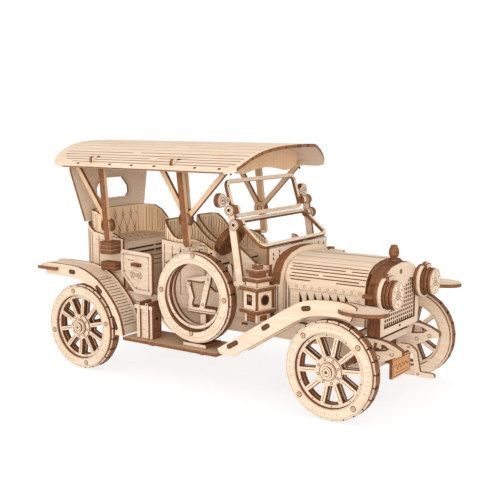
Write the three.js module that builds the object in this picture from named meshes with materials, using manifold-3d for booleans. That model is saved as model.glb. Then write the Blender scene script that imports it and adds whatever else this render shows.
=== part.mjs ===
// Wooden 3D jigsaw model: a laser-cut plywood open touring car, assembled, about 1:16.
// Millimetres, +X forward, +Y to the car's left, +Z up. Inside the root group the rear axle
// is at x = 0 and the ground at z = 0; the root group moves the middle of the length to x = 0.

import * as THREE from "three";
import { mergeVertices } from "three/addons/utils/BufferGeometryUtils.js";
import Module from "manifold-3d";

const wasm = await Module();
wasm.setup();

// Driving dimensions
const PLY = 2;
const GAP = 0.3;
const LENGTH_MIDDLE = 92.15;
const WHEELBASE = 184.2;
const AXLE_Z = 27.5;
const AXLE_R = 2;
const TYRE_R = 27.5;
const TYRE_FACE_R = 26.46;
const TYRE_HOLE_R = 20.7;
const WHEEL_FACE_Y = 56.5;
const WHEEL_WIDTH = 9;
const SPOKES = 10;
const HUB_END_Y = 58.6;
const RAIL_Y = [23.5, 27.5];
const SIDE_Y = [31, 33];
const FENDER_Y = [36, 38, 52, 54];
const FLOOR_Z = [44, 46];
const BOARD_Z = 25.4;
const BOARD_X = [35.5, 108.4];
const ROOF_HALF = 51.3;
const ROOF_CROWN_Z = 146;
const ROOF_EDGE_Z = 132;
const POST_Y = [40.6, 43];
const HOOD_X = [138, 190.4];
const RADIATOR_X = [191, 199.2];
const RADIATOR_HALF = 24.9;
const HEADLIGHT = { y: 25.2, z: 66.5, r: 8.6, x0: 199.6, x1: 209.6 };
const SPARE = { x: 87.5, z: BOARD_Z + GAP + TYRE_R + 2.2, face: 50.1 };
const UPPER_PIVOT = [110.7, 108.6];
const LOWER_PIVOT = [114, 100.3];
const FRAME_HALF = 38.2;
const DOOR = { hinge: 18, y: 35, top: 77.5, bottom: 50.7, length: 31.6, ajar: 10 };
const STEER = { x: 91.5, y: -16.6, z: 87, rim: 11.2, tilt: 35 };
const CRANK_Z = 32.2;

const PALE = new THREE.Color(0.86, 0.71, 0.53);
const BURNT = new THREE.Color(0.42, 0.22, 0.11);

const car = new THREE.Group();
car.position.x = -LENGTH_MIDDLE;

// ---------------------------------------------------------------- helpers

function wood(color = PALE) {
  return new THREE.MeshStandardMaterial({ color, roughness: 0.75, metalness: 0 });
}

function add(name, geometry, parent = car, color = PALE) {
  const mesh = new THREE.Mesh(geometry, wood(color));
  mesh.name = name;
  parent.add(mesh);
  return mesh;
}

function solid(geometry) {
  const bare = geometry.clone();
  bare.deleteAttribute("normal");
  bare.deleteAttribute("uv");
  const merged = mergeVertices(bare, 1e-4);
  return new wasm.Manifold(new wasm.Mesh({
    numProp: 3,
    vertProperties: new Float32Array(merged.attributes.position.array),
    triVerts: new Uint32Array(merged.index.array),
  }));
}

function surface(manifold) {
  const mesh = manifold.getMesh();
  const geometry = new THREE.BufferGeometry();
  geometry.setAttribute("position", new THREE.BufferAttribute(mesh.vertProperties, 3));
  geometry.setIndex(new THREE.BufferAttribute(mesh.triVerts, 1));
  geometry.computeVertexNormals();
  return geometry;
}

function join(...parts) {
  return surface(parts.map(solid).reduce((sum, part) => sum.add(part)));
}

function cut(body, ...tools) {
  return surface(tools.map(solid).reduce((rest, tool) => rest.subtract(tool), solid(body)));
}

function common(a, b) {
  return surface(solid(a).intersect(solid(b)));
}

function outline(points) {
  return new THREE.Shape(points.map(([u, v]) => new THREE.Vector2(u, v)));
}

function hole(shape, points) {
  shape.holes.push(new THREE.Path(points.map(([u, v]) => new THREE.Vector2(u, v))));
  return shape;
}

function extruded(shape, depth, segments) {
  return new THREE.ExtrudeGeometry(shape, { depth, bevelEnabled: false, curveSegments: segments });
}

// A plate whose outline is drawn in (x, z), between y0 and y1
function plateY(shape, y0, y1, segments = 8) {
  return extruded(shape, y1 - y0, segments).rotateX(Math.PI / 2).translate(0, y1, 0);
}

// A plate whose outline is drawn in (y, z), between x0 and x1
function plateX(shape, x0, x1, segments = 8) {
  const turn = new THREE.Matrix4().set(0, 0, 1, 0, 1, 0, 0, 0, 0, 1, 0, 0, 0, 0, 0, 1);
  return extruded(shape, x1 - x0, segments).applyMatrix4(turn).translate(x0, 0, 0);
}

// A plate whose outline is drawn in (x, y), between z0 and z1
function plateZ(shape, z0, z1, segments = 8) {
  return extruded(shape, z1 - z0, segments).translate(0, 0, z0);
}

function box([x0, x1], [y0, y1], [z0, z1]) {
  return new THREE.BoxGeometry(x1 - x0, y1 - y0, z1 - z0)
    .translate((x0 + x1) / 2, (y0 + y1) / 2, (z0 + z1) / 2);
}

function disc(radius, sides) {
  const points = [];
  for (let i = 0; i < sides; i += 1) {
    const angle = ((i + 0.5) * 2 * Math.PI) / sides;
    points.push([radius * Math.cos(angle), radius * Math.sin(angle)]);
  }
  return points;
}

function shifted(points, du, dv) {
  return points.map(([u, v]) => [u + du, v + dv]);
}

// A round rod along Y
function rodY(x, z, radius, y0, y1, sides = 12) {
  return plateY(outline(shifted(disc(radius, sides), x, z)), y0, y1);
}

// A straight bar with round ends, as an outline
function barOutline([u0, v0], [u1, v1], width) {
  const angle = Math.atan2(v1 - v0, u1 - u0);
  const points = [];
  for (const [cu, cv, start] of [[u1, v1, angle - Math.PI / 2], [u0, v0, angle + Math.PI / 2]]) {
    for (let i = 0; i <= 4; i += 1) {
      const a = start + (i * Math.PI) / 4;
      points.push([cu + (width / 2) * Math.cos(a), cv + (width / 2) * Math.sin(a)]);
    }
  }
  return outline(points);
}

// A smooth line through a few points, as samples
function smooth(points, count) {
  const spline = new THREE.SplineCurve(points.map(([u, v]) => new THREE.Vector2(u, v)));
  return spline.getPoints(count).map((p) => [p.x, p.y]);
}

// The same line moved sideways (to its right for a positive distance)
function offset(points, distance) {
  return points.map((point, i) => {
    const before = points[Math.max(i - 1, 0)];
    const after = points[Math.min(i + 1, points.length - 1)];
    const du = after[0] - before[0];
    const dv = after[1] - before[1];
    const length = Math.hypot(du, dv);
    return [point[0] + (distance * dv) / length, point[1] - (distance * du) / length];
  });
}

// A strip between a line and the same line moved sideways
function strip(points, near, far) {
  return outline([...offset(points, near), ...offset(points, far).reverse()]);
}

function roundedRect(u0, u1, v0, v1, radius, sides = 4) {
  const points = [];
  const corners = [[u1 - radius, v0 + radius, -90], [u1 - radius, v1 - radius, 0],
    [u0 + radius, v1 - radius, 90], [u0 + radius, v0 + radius, 180]];
  for (const [cu, cv, start] of corners) {
    for (let i = 0; i <= sides; i += 1) {
      const a = THREE.MathUtils.degToRad(start + (90 * i) / sides);
      points.push([cu + radius * Math.cos(a), cv + radius * Math.sin(a)]);
    }
  }
  return points;
}

// A closed turned solid about the Y axis from (radius, y) pairs that end where they start
function turned(profile, sides) {
  const points = [...profile, profile[0]].map(([r, y]) => new THREE.Vector2(r, y));
  return new THREE.LatheGeometry(points, sides, Math.PI / sides);
}

const SIDES = [["right", -1], ["left", 1]];

// y0..y1 measured outwards from the middle, on one side
function span(side, inner, outer) {
  return side < 0 ? [-outer, -inner] : [inner, outer];
}

// ---------------------------------------------------------------- wheels and axles

// The flat facets, not the corners, have the stated radius, so a wheel stands on a flat
function tyreGeometry(sides = 32) {
  const k = 1 / Math.cos(Math.PI / sides);
  const half = WHEEL_WIDTH / 2;
  const step = 1.9;
  return turned([
    [TYRE_HOLE_R * k, -half], [TYRE_FACE_R * k, -half], [TYRE_FACE_R * k, -half + step],
    [TYRE_R * k, -half + step], [TYRE_R * k, half - step], [TYRE_FACE_R * k, half - step],
    [TYRE_FACE_R * k, half], [TYRE_HOLE_R * k, half],
  ], sides);
}

function spokesGeometry() {
  const outer = TYRE_HOLE_R - 0.4;
  const rimInner = 18.6;
  const hubR = 8.4;
  const shape = hole(outline(disc(outer, 24)), disc(AXLE_R + 0.35, 10));
  const halfRim = Math.PI / SPOKES - 1.35 / rimInner;
  const halfHub = Math.PI / SPOKES - 1.35 / hubR;
  for (let i = 0; i < SPOKES; i += 1) {
    const middle = ((i + 0.5) * 2 * Math.PI) / SPOKES;
    const window = [];
    for (const t of [-1, 0, 1]) {
      const a = middle + t * halfRim;
      window.push([rimInner * Math.cos(a), rimInner * Math.sin(a)]);
    }
    for (const t of [1, -1]) {
      const a = middle + t * halfHub;
      window.push([hubR * Math.cos(a), hubR * Math.sin(a)]);
    }
    hole(shape, window);
  }
  return plateY(shape, -2.9, 2.9);
}

function hubGeometry() {
  const bore = AXLE_R + 0.35;
  const end = -(HUB_END_Y - WHEEL_FACE_Y + WHEEL_WIDTH / 2);
  const [step, flange, back] = [end + 1.3, end + 2.5, -3.3];
  return turned([
    [bore, end], [3.2, end], [3.2, step], [5.3, step], [5.3, flange], [7.9, flange],
    [7.9, back], [bore, back],
  ], 16);
}

const AXLES = [["front", WHEELBASE], ["rear", 0]];
for (const [place, x] of AXLES) {
  const reach = WHEEL_FACE_Y - 0.6;
  add(`${place}_axle`, rodY(x, AXLE_Z, AXLE_R, -reach, reach), car, BURNT);
  for (const [side, sign] of SIDES) {
    const wheel = new THREE.Group();
    wheel.position.set(x, sign * (WHEEL_FACE_Y - WHEEL_WIDTH / 2), AXLE_Z);
    wheel.rotation.z = sign > 0 ? Math.PI : 0;
    car.add(wheel);
    add(`wheel_${place}_${side}_tyre`, tyreGeometry(), wheel);
    add(`wheel_${place}_${side}_spokes`, spokesGeometry(), wheel);
    add(`wheel_${place}_${side}_hub`, hubGeometry(), wheel);
  }
}

function spareWheel() {
  const wheel = new THREE.Group();
  wheel.position.set(SPARE.x, -(SPARE.face - WHEEL_WIDTH / 2), SPARE.z);
  car.add(wheel);
  add("spare_tyre", tyreGeometry(), wheel);
}
spareWheel();

// ---------------------------------------------------------------- chassis

function railGeometry(side) {
  const top = [[-14, 38], [-4, 41], [40, 43.6], [150, 43.6], [190, 41.2]];
  const horn = smooth([[193, 41.2], [201, 40.8], [208, 39], [213.4, 36.3]], 6);
  const under = [[213.6, 33.8], [209, 32.2], [200.7, 28.2], [192, 24], [184, 21.5], [176, 24],
    [168, 33], [16, 33], [8, 24], [0, 21.5], [-8, 24], [-14, 32]];
  const shape = outline([...top, ...horn, ...under].reverse());
  hole(shape, shifted(disc(AXLE_R + 0.4, 12), 0, AXLE_Z));
  hole(shape, shifted(disc(AXLE_R + 0.4, 12), WHEELBASE, AXLE_Z));
  hole(shape, [[196, 34], [204, 35.2], [206.4, 36.9], [203, 38.6], [197, 39.4]]);
  return plateY(shape, ...span(side, ...RAIL_Y));
}

function floorGeometry() {
  return plateZ(outline([[-10, -29], [-7, -30.6], [129.4, -30.6], [129.4, 30.6], [-7, 30.6],
    [-10, 29], [-17, 20], [-18.4, 14], [-18.4, -14], [-17, -20]]), ...FLOOR_Z);
}

function boardGeometry(side) {
  const deck = box(BOARD_X, span(side, 28, 54.5), [BOARD_Z - PLY, BOARD_Z]);
  const brackets = [43.6, 83.7].map((x) => plateX(outline(
    [[side * 52, BOARD_Z - 1], [side * 28, BOARD_Z - 1], [side * 28, 17], [side * 36, 16.6]],
  ), x - 1, x + 1));
  return join(deck, ...brackets);
}

function numberPlateGeometry() {
  const plate = box([199, 201], [-12, 12], [14.8, 26.6]);
  const hanger = box([193, 199.1], [-6, 6], [22, 25]);
  const crossbar = box([190, 193.2], [-23.2, 23.2], [21, 27]);
  return join(plate, hanger, crossbar);
}

function crankGeometry() {
  const path = [[200.2, CRANK_Z], [205.6, CRANK_Z], [209.2, 29.6], [211.6, 17.2], [220.2, 17.2]];
  const bars = path.slice(1).map((point, i) => plateY(
    barOutline(path[i], point, 3), -1.1, 1.1));
  return join(...bars);
}

for (const [side, sign] of SIDES) {
  add(`chassis_rail_${side}`, railGeometry(sign));
  add(`running_board_${side}`, boardGeometry(sign));
}
add("floor_deck", floorGeometry());
add("number_plate", numberPlateGeometry(), car, BURNT);
add("hand_crank", crankGeometry());

// ---------------------------------------------------------------- fenders

const REAR_FENDER_TOP = [[-37.2, 66.2], [-28, 66.8], [-14.4, 66.7], [-3, 66.1], [5.7, 63.5],
  [13.5, 59.4], [19.1, 54.7], [23.9, 49.9], [28, 45], [31.3, 39.6], [33.4, 34], [35.1, 25.8]];
const FRONT_FENDER_TOP = [[109, 28.6], [124, 38], [137.9, 46.6], [153.3, 56.3], [163.9, 62.2],
  [171, 64.4], [180.1, 65.5], [189.3, 65.6], [195.8, 64.7], [199.4, 63.2]];

function wheelClearance(x) {
  return rodY(x, AXLE_Z, TYRE_R + 1.3, -70, 70, 28);
}

function rearFenderGeometry(side) {
  const line = smooth(REAR_FENDER_TOP, 18);
  const face = plateY(strip(line.slice(1), 0, 7.6), ...span(side, FENDER_Y[2], FENDER_Y[3]));
  const inner = plateY(strip(line, 0, 7.6), ...span(side, FENDER_Y[0], FENDER_Y[1]));
  const sheet = plateY(strip(line, 0.9, 2.5), ...span(side, FENDER_Y[0] + 1, FENDER_Y[2] + 1));
  const tip = box([-37.4, -20.5], span(side, FENDER_Y[0], 56), [62.4, 64.4]);
  const body = join(face, inner, sheet, tip);
  const groundCut = box([-60, 60], [-70, 70], [0, BOARD_Z + GAP]);
  return cut(body, wheelClearance(0), groundCut);
}

function tipPlateGeometry(side) {
  const points = disc(1, 18).map(([u, v]) => [201.5 + 14 * u, side * 50 + 10 * v]);
  return plateZ(outline(points), 60, 62);
}

function frontFenderGeometry(side) {
  const line = smooth(FRONT_FENDER_TOP, 16);
  const face = plateY(strip(line, 0, 8.6), ...span(side, FENDER_Y[2], FENDER_Y[3]));
  const inner = plateY(strip(line, 3.6, 8.6), ...span(side, FENDER_Y[0], FENDER_Y[1]));
  const sheet = plateY(strip(line, 4, 5.6), ...span(side, FENDER_Y[0] + 1, FENDER_Y[2] + 1));
  const brace = plateY(barOutline([190, 57], [199, 45.4], 4), ...span(side, 36, 38));
  const body = join(face, inner, sheet, tipPlateGeometry(side), brace);
  const groundCut = box([100, 120], [-70, 70], [0, BOARD_Z + GAP]);
  return cut(body, wheelClearance(WHEELBASE), groundCut);
}

for (const [side, sign] of SIDES) {
  add(`rear_fender_${side}`, rearFenderGeometry(sign));
  add(`front_fender_${side}`, frontFenderGeometry(sign));
}

// ---------------------------------------------------------------- body tub, seats and doors

const TUB = { back: -21, half: 33, corner: 13.5, rim: 92 };
const SIDE_OUTLINE = [[-7.5, 44], [-7.5, 86.6], [4.3, 84.6], [17.4, 83.4], [17.4, 50], [50.6, 50],
  [50.6, 86], [60, 85], [84, 84], [84, 62], [92, 56.5], [101, 58], [105.6, 66], [106.6, 86.6],
  [109, 86.4], [121.8, 76.8], [129.4, 76.8], [129.4, 44]];

// One rear corner of a U seen from above, from the straight side to the middle of the back
function cornerPath({ back, half, corner }, inset, front, middle, side) {
  const radius = corner - inset;
  const points = [[front, side * (half - inset)]];
  for (let i = 0; i <= 6; i += 1) {
    const a = THREE.MathUtils.degToRad(90 + 15 * i);
    points.push([back + corner + radius * Math.cos(a),
      side * (half - corner + radius * Math.sin(a))]);
  }
  points.push([back + inset, side * middle]);
  return points;
}

function bodySideGeometry(side) {
  const panel = plateY(outline(SIDE_OUTLINE), ...span(side, ...SIDE_Y));
  const front = TUB.back + TUB.corner + 1;
  const plan = outline([...cornerPath(TUB, 0, front, GAP / 2, side),
    ...cornerPath(TUB, PLY, front, GAP / 2, side).reverse()]);
  const slope = outline([[-40, FLOOR_Z[0]], [10, FLOOR_Z[0]], [10, 84], [-7.5, 86.6],
    [-17, TUB.rim], [-40, TUB.rim]]);
  const corner = common(plateZ(plan, 40, 96), plateY(slope, -40, 40));
  const footBlock = box([6.5, 16], span(side, SIDE_Y[1] - 0.4, 42.6), [74.4, 82.4]);
  return join(panel, corner, footBlock);
}

const REAR_SEAT = { back: -18.6, half: 30.6, corner: 12, thick: 2, centre: 0 };
const REAR_ARM = [[-20, 40], [-20, 100.4], [-8, 99.6], [-1.7, 96.6], [3.4, 91.4], [6, 86.4],
  [11.6, 84], [15.6, 80.6], [17, 76.6], [17, 40]];
const BUCKET = { back: 46.4, half: 14.3, corner: 9, thick: 2.2, centre: 16.3 };
const BUCKET_OUTER_ARM = [[45, 40], [45, 98], [49.6, 97], [54, 92.4], [58, 88], [62, 86.6],
  [68, 87.2], [75, 87.4], [82, 85.6], [87.4, 82], [90, 78], [90, 40]];
const BUCKET_INNER_ARM = [[45, 40], [45, 98], [50.6, 97], [55, 93.2], [60, 88], [66, 83.6],
  [75, 80.2], [82, 79], [84, 76], [84, 40]];

function shellWall(seat, front) {
  const around = (inset) => [...cornerPath(seat, inset, front, 0, 1),
    ...cornerPath(seat, inset, front, 0, -1).reverse()];
  const plan = outline([...around(0), ...around(seat.thick).reverse()]);
  return plateZ(plan, FLOOR_Z[1] + GAP, 110).translate(0, seat.centre, 0);
}

function rearSeatGeometry() {
  return common(shellWall(REAR_SEAT, 18), plateY(outline(REAR_ARM), -40, 40));
}

function bucketGeometry(side) {
  const seat = { ...BUCKET, centre: side * BUCKET.centre };
  const inner = plateY(outline(BUCKET_INNER_ARM), ...span(side, 0, BUCKET.centre + 0.1));
  const outer = plateY(outline(BUCKET_OUTER_ARM), ...span(side, BUCKET.centre, 40));
  return common(shellWall(seat, 91), join(inner, outer));
}

function cushionGeometry(seat, centre, front, top) {
  const clear = seat.thick + GAP;
  const v = seat.half - clear;
  const u0 = seat.back + clear;
  const r = seat.corner - seat.thick;
  const base = FLOOR_Z[1] + GAP;
  const profile = outline([[u0, base], [front - 2, base], [front - 2, top - 9], [front, top - 6],
    [front - 1.5, top - 1.5], [front - 5, top], [u0, top + 1.5]]);
  const plan = outline([[u0 + r, -v], [front + 3, -v], [front + 3, v], [u0 + r, v],
    [u0 + r * 0.3, v - r * 0.3], [u0, v - r], [u0, -v + r], [u0 + r * 0.3, -v + r * 0.3]]);
  const whole = common(plateY(profile, -v, v), plateZ(plan, base - 1, top + 3));
  return whole.translate(0, centre, 0);
}

function doorGeometry(side) {
  const h = DOOR.top - DOOR.bottom;
  const panel = plateY(outline([[0.6, 11.2], [13.6, 0.8], [15.2, 0], [DOOR.length - 1.6, 0],
    [DOOR.length, 1.6], [DOOR.length, h - 1.6], [DOOR.length - 1.6, h], [2, h], [0.6, h - 1.4]]),
  -PLY / 2, PLY / 2);
  const handle = box([14, 21.4], span(side, 0.6, 3.4), [h - 9.4, h - 7.4]);
  return join(panel, handle);
}

function door(name, side, swing) {
  const hinge = new THREE.Group();
  hinge.position.set(DOOR.hinge, side * DOOR.y, DOOR.bottom);
  hinge.rotation.z = side * THREE.MathUtils.degToRad(swing);
  car.add(hinge);
  add(name, doorGeometry(side), hinge);
}

for (const [side, sign] of SIDES) {
  add(`body_side_${side}`, bodySideGeometry(sign));
}
door("door_right", -1, DOOR.ajar);
door("door_left", 1, 0);
add("rear_seat_back", rearSeatGeometry());
add("rear_seat_cushion", cushionGeometry(REAR_SEAT, 0, 16.4, 79.5));
for (const [side, sign] of SIDES) {
  add(`front_seat_back_${side}`, bucketGeometry(sign));
  add(`front_seat_cushion_${side}`, cushionGeometry(BUCKET, sign * BUCKET.centre, 83, 74));
}

// ---------------------------------------------------------------- dash, scuttle and hood

const COWL = [[-31.5, 47], [-31.5, 66], [-30, 73], [-26, 79], [-19, 83], [-9, 85], [0, 85.4]];
const HOOD = [[-27, 46.5], [-27, 67], [-25.6, 72.6], [-22.4, 77], [-17, 80], [-9, 81.6], [0, 82]];

const HOOD_SPLIT_Z = 66.4;

function mirrored(points) {
  return [...points, ...points.slice(0, -1).map(([u, v]) => [-u, v]).reverse()];
}

// A bent sheet seen end on: the half outline and the same pulled in by its thickness
function arch(half, thick) {
  const outer = mirrored(half);
  const inner = mirrored(offset(half, thick).map(([u, v], i) => (
    i === 0 ? [half[0][0] + thick, half[0][1]] : [i === half.length - 1 ? 0 : u, v])));
  return outline([...outer, ...inner.reverse()]);
}

// The lower side of the left half of the hood stays on the car, fixed to the scuttle
function scuttleGeometry() {
  const lowerSide = box([134, HOOD_X[1]], [25.4, 27], [46.5, HOOD_SPLIT_Z]);
  const lug = box([134, 137.6], [26.4, 29], [46.5, HOOD_SPLIT_Z]);
  const panel = plateX(outline([[-33.4, 77.3], [-33.4, 86.5], [33.4, 86.5], [33.4, 77.3],
    [30.4, 77.3], [30.4, 46.4], [-30.4, 46.4], [-30.4, 77.3]].reverse()), 129.7, 131.7);
  return join(panel, plateX(arch(COWL, 4.2), 131.6, 137.6), lowerSide, lug);
}

function hoodLeaf(side) {
  const whole = plateX(arch(HOOD, 1.6), ...HOOD_X);
  const low = side < 0 ? 0 : HOOD_SPLIT_Z + GAP;
  const leaf = common(whole, box([100, 240], span(side, 0.2, 60), [low, 120]));
  if (side < 0) {
    return leaf;
  }
  const handle = [box([141.4, 142.6], [21, 23], [76, 79]), box([148.4, 149.6], [21, 23], [76, 79]),
    box([140.6, 150.4], [21, 23], [78.8, 80.6])];
  return join(leaf, ...handle);
}

add("scuttle", scuttleGeometry());
add("hood_leaf_right", hoodLeaf(-1));
add("hood_leaf_left", hoodLeaf(1));

// ---------------------------------------------------------------- radiator and lights

const RADIATOR = [[-24.9, 41.6], [-24.9, 66], [-23.4, 71.6], [-19, 76.2], [-12, 79.2], [0, 80.3]];
const GRILLE = [[-20.6, 45.4], [-20.6, 64.6], [-17, 69.4], [-12, 70], [-7.4, 66.6], [-4, 65.4],
  [0, 65]];

function radiatorShellGeometry() {
  const front = hole(outline(mirrored(RADIATOR).reverse()), mirrored(GRILLE));
  return plateX(front, ...RADIATOR_X);
}

function grilleGeometry() {
  const opening = mirrored(GRILLE).map(([u, v]) => [u * 0.975, v + (v > 55 ? -0.4 : 0.4)]);
  return plateX(outline(opening.reverse()), RADIATOR_X[0] + 2.4, RADIATOR_X[1] - 2.8);
}

function capGeometry() {
  const profile = [[0, 0], [1.6, 0], [1.6, 1.6], [3, 4], [2.9, 6.6], [1.7, 9.4], [0, 9.6]];
  const points = profile.map(([r, z]) => new THREE.Vector2(r, z));
  return new THREE.LatheGeometry(points, 12).rotateX(Math.PI / 2)
    .translate(194.6, 0, 80.3 + GAP);
}

function headlightGeometry(side) {
  const { y, z, r, x0, x1 } = HEADLIGHT;
  const drum = plateX(outline(shifted(disc(r - 0.6, 24), side * y, z)), x0 + 1.8, x1);
  const back = plateX(outline(shifted(disc(r + 1, 24), side * y, z)), x0, x0 + 2);
  const bracket = box([192, x0 + 3], span(side, RADIATOR_HALF + GAP, 33.4), [z - 2.2, z - 0.2]);
  const web = box([192, x0 + 3], span(side, RADIATOR_HALF + GAP, RADIATOR_HALF + 2.3), [60, 70]);
  const cap = box([x0 + 2, x0 + 6], span(side, y - 3, y + 3), [z + r - 1, z + r + 1.6]);
  return join(drum, back, bracket, web, cap);
}

add("radiator_shell", radiatorShellGeometry());
add("radiator_grille", grilleGeometry());
add("radiator_cap", capGeometry(), car, BURNT);
for (const [side, sign] of SIDES) {
  add(`headlight_${side}`, headlightGeometry(sign));
}

// ---------------------------------------------------------------- lanterns and tool box

const LANTERN_TIERS = [[45.6, 51.2, 9.4], [51.2, 53.2, 15], [53.2, 64.2, 12.4], [64.2, 66.2, 15],
  [66.2, 69.2, 9.6], [69.2, 71.2, 12.4], [71.2, 74, 7], [74, 75.8, 9.6], [75.8, 78.6, 4.4]];

function lantern(name, side) {
  const group = new THREE.Group();
  group.position.set(129.5, side * 42.4, 0);
  group.rotation.z = side * THREE.MathUtils.degToRad(13.8);
  car.add(group);
  const tiers = LANTERN_TIERS.map(([z0, z1, width], i) => {
    const low = i === 0 ? z0 : z0 - 0.2;
    return box([-width / 2, width / 2], [-width / 2, width / 2], [low, z1]);
  });
  add(name, join(...tiers), group);
}

function toolBoxGeometry() {
  const body = box([43.6, 56], [-50, -41], [BOARD_Z + GAP, 44.6]);
  const lid = box([42.6, 57], [-51, -40], [44.4, 46.6]);
  const straps = [46.4, 53.2].map((x) => box([x - 1, x + 1], [-51.6, -40], [26.4, 48.4]));
  return join(body, lid, ...straps);
}

function spareBracketGeometry() {
  const base = box([77, 98], [-40.6, -(SIDE_Y[1] + GAP)], [44, 47.6]);
  const rest = box([80, 97], [-49.4, -34], [BOARD_Z + GAP, BOARD_Z + GAP + 1.9]);
  const foot = box([86, 90], [-40, -36], [BOARD_Z + GAP + 1, 45]);
  const lever = plateY(barOutline([87.1, 46], [93.3, 68.9], 3.6), -40.6, -38.8);
  const hook = plateY(strip(smooth([[79.8, 46], [78.6, 50], [79.8, 53.4], [78.2, 58], [77.6, 62.6]], 8),
    -1.4, 1.4), -40.6, -38.8);
  const arm = plateY(barOutline([75.4, 63], [92.4, 66.6], 3), -39, -37);
  return join(base, rest, foot, lever, hook, arm);
}

for (const [side, sign] of SIDES) {
  lantern(`lantern_${side}`, sign);
}
add("tool_box", toolBoxGeometry());
add("spare_bracket", spareBracketGeometry());

// ---------------------------------------------------------------- steering and hand lever

function steeringGroup() {
  const group = new THREE.Group();
  group.position.set(STEER.x, STEER.y, STEER.z);
  group.rotation.y = THREE.MathUtils.degToRad(STEER.tilt);
  car.add(group);
  return group;
}

// Drawn with the column along +X of the tilted group
function steeringWheelGeometry() {
  const ring = hole(outline(disc(STEER.rim, 28)), disc(STEER.rim - 3.2, 24).reverse());
  const rim = plateX(ring, -2, 2);
  const spokes = [0, 1, 2, 3].map((i) => {
    const a = (i * Math.PI) / 2 + Math.PI / 4;
    const end = [(STEER.rim - 2) * Math.cos(a), (STEER.rim - 2) * Math.sin(a)];
    return plateX(barOutline([0, 0], end, 2.2), -0.9, 0.9);
  });
  const hub = plateX(outline(disc(3.4, 16)), -2.4, 1.6);
  const column = plateX(outline(disc(1.5, 10)), 1, 43.8);
  return join(rim, ...spokes, hub, column);
}

const steering = steeringGroup();
add("steering_wheel", steeringWheelGeometry(), steering, BURNT);
add("hand_lever", plateY(barOutline([104, 50], [100.5, 73], 2.6), -29.6, -27.8));

// ---------------------------------------------------------------- windscreen

function screenPostGeometry(side) {
  const y = span(side, 41, 43);
  const post = plateY(barOutline([117.4, 66], UPPER_PIVOT, 4.6), ...y);
  const bosses = [UPPER_PIVOT, LOWER_PIVOT].map(([x, z]) => rodY(x, z, 3.3, ...span(side, 40, 44)));
  const pins = [UPPER_PIVOT, LOWER_PIVOT].map(([x, z]) => rodY(x, z, 1.3, ...span(side, 38.6, 44.6)));
  const foot = box([113, 121], span(side, SIDE_Y[1] + GAP, 43), [64.4, 67.4]);
  return join(post, ...bosses, ...pins, foot);
}

// A flat ring drawn in (v = height in its own plane, y), tilted about Y at its pivot
function screenFrame(name, pivot, tilt, low, high, back) {
  const group = new THREE.Group();
  group.position.set(pivot[0], 0, pivot[1]);
  group.rotation.y = THREE.MathUtils.degToRad(tilt);
  car.add(group);
  const radius = 4.4;
  const ring = outline(roundedRect(-FRAME_HALF, FRAME_HALF, low, high, radius));
  hole(ring, roundedRect(-FRAME_HALF + 2.6, FRAME_HALF - 2.6, low + 2.3, high - 2.3,
    radius - 2.3).reverse());
  const frame = plateX(ring, back - 1, back + 1);
  const ears = [-1, 1].map((side) => (
    plateY(outline(disc(2.6, 12)), ...span(side, FRAME_HALF - 2.4, FRAME_HALF))));
  add(name, join(frame, ...ears), group);
}

function mirrorGeometry(side) {
  const glass = plateX(outline(shifted(disc(4.2, 20), side * 45.4, 114.2)), 103.6, 107.2);
  const knuckle = plateX(outline(shifted(disc(2, 12), side * 40.9, 114)), 105.8, 107.6);
  const stem = box([105.8, 107.2], span(side, 39.4, 42), [113.4, 114.8]);
  return join(glass, knuckle, stem);
}

for (const [side, sign] of SIDES) {
  add(`windshield_post_${side}`, screenPostGeometry(sign));
}
screenFrame("windshield_upper_frame", UPPER_PIVOT, -17, -4.6, 18.4, -2.4);
screenFrame("windshield_lower_frame", LOWER_PIVOT, 130, -3.4, 20.4, 0);
for (const [side, sign] of SIDES) {
  add(`mirror_${side}`, mirrorGeometry(sign));
}

// ---------------------------------------------------------------- canopy

function roofLine(drop) {
  const points = [];
  for (let i = -10; i <= 10; i += 1) {
    const u = i / 10;
    const fall = (ROOF_CROWN_Z - ROOF_EDGE_Z) * Math.pow(Math.abs(u), 3);
    points.push([u * ROOF_HALF, ROOF_CROWN_Z - fall - drop]);
  }
  return points;
}

function roofPlan() {
  const front = smooth([[112, 51.6], [119.5, 49.6], [123, 43], [127, 30], [133, 14], [134.5, 0]], 14);
  const rear = smooth([[-18, 51.6], [-24.5, 49.4], [-28, 45], [-30, 30], [-30, 0]], 10);
  const frontEdge = [...front, ...front.slice(0, -1).reverse().map(([u, v]) => [u, -v])];
  const rearEdge = [...rear, ...rear.slice(0, -1).reverse().map(([u, v]) => [u, -v])].reverse();
  return outline([...frontEdge, ...rearEdge].reverse());
}

const RIB_END = [[37, 135], [35.4, 131.2], [30, 129], [24, 128.4], [12, 130.4], [0, 131.4]];

function roofGeometry() {
  const sheet = outline([...roofLine(0), ...roofLine(PLY).reverse()]);
  const skin = common(plateX(sheet, -45, 140), plateZ(roofPlan(), 120, 150));
  const lower = RIB_END.map(([u, v]) => [-u, v]);
  const rib = outline([...roofLine(PLY - 0.4).slice(3, -3), ...mirrored(lower).reverse()]);
  const ribs = [6, 74, 106].map((x) => plateX(rib, x - 1, x + 1));
  return join(skin, ...ribs);
}

const REAR_POST = [[13.2, 84.9], [9.3, 129.4]];
const MIDDLE_POST = [[78, 86.4], [73.2, 129.4]];
const REAR_BOSS = [12.4, 93];
const MIDDLE_BOSS = [76.4, 101];

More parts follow.
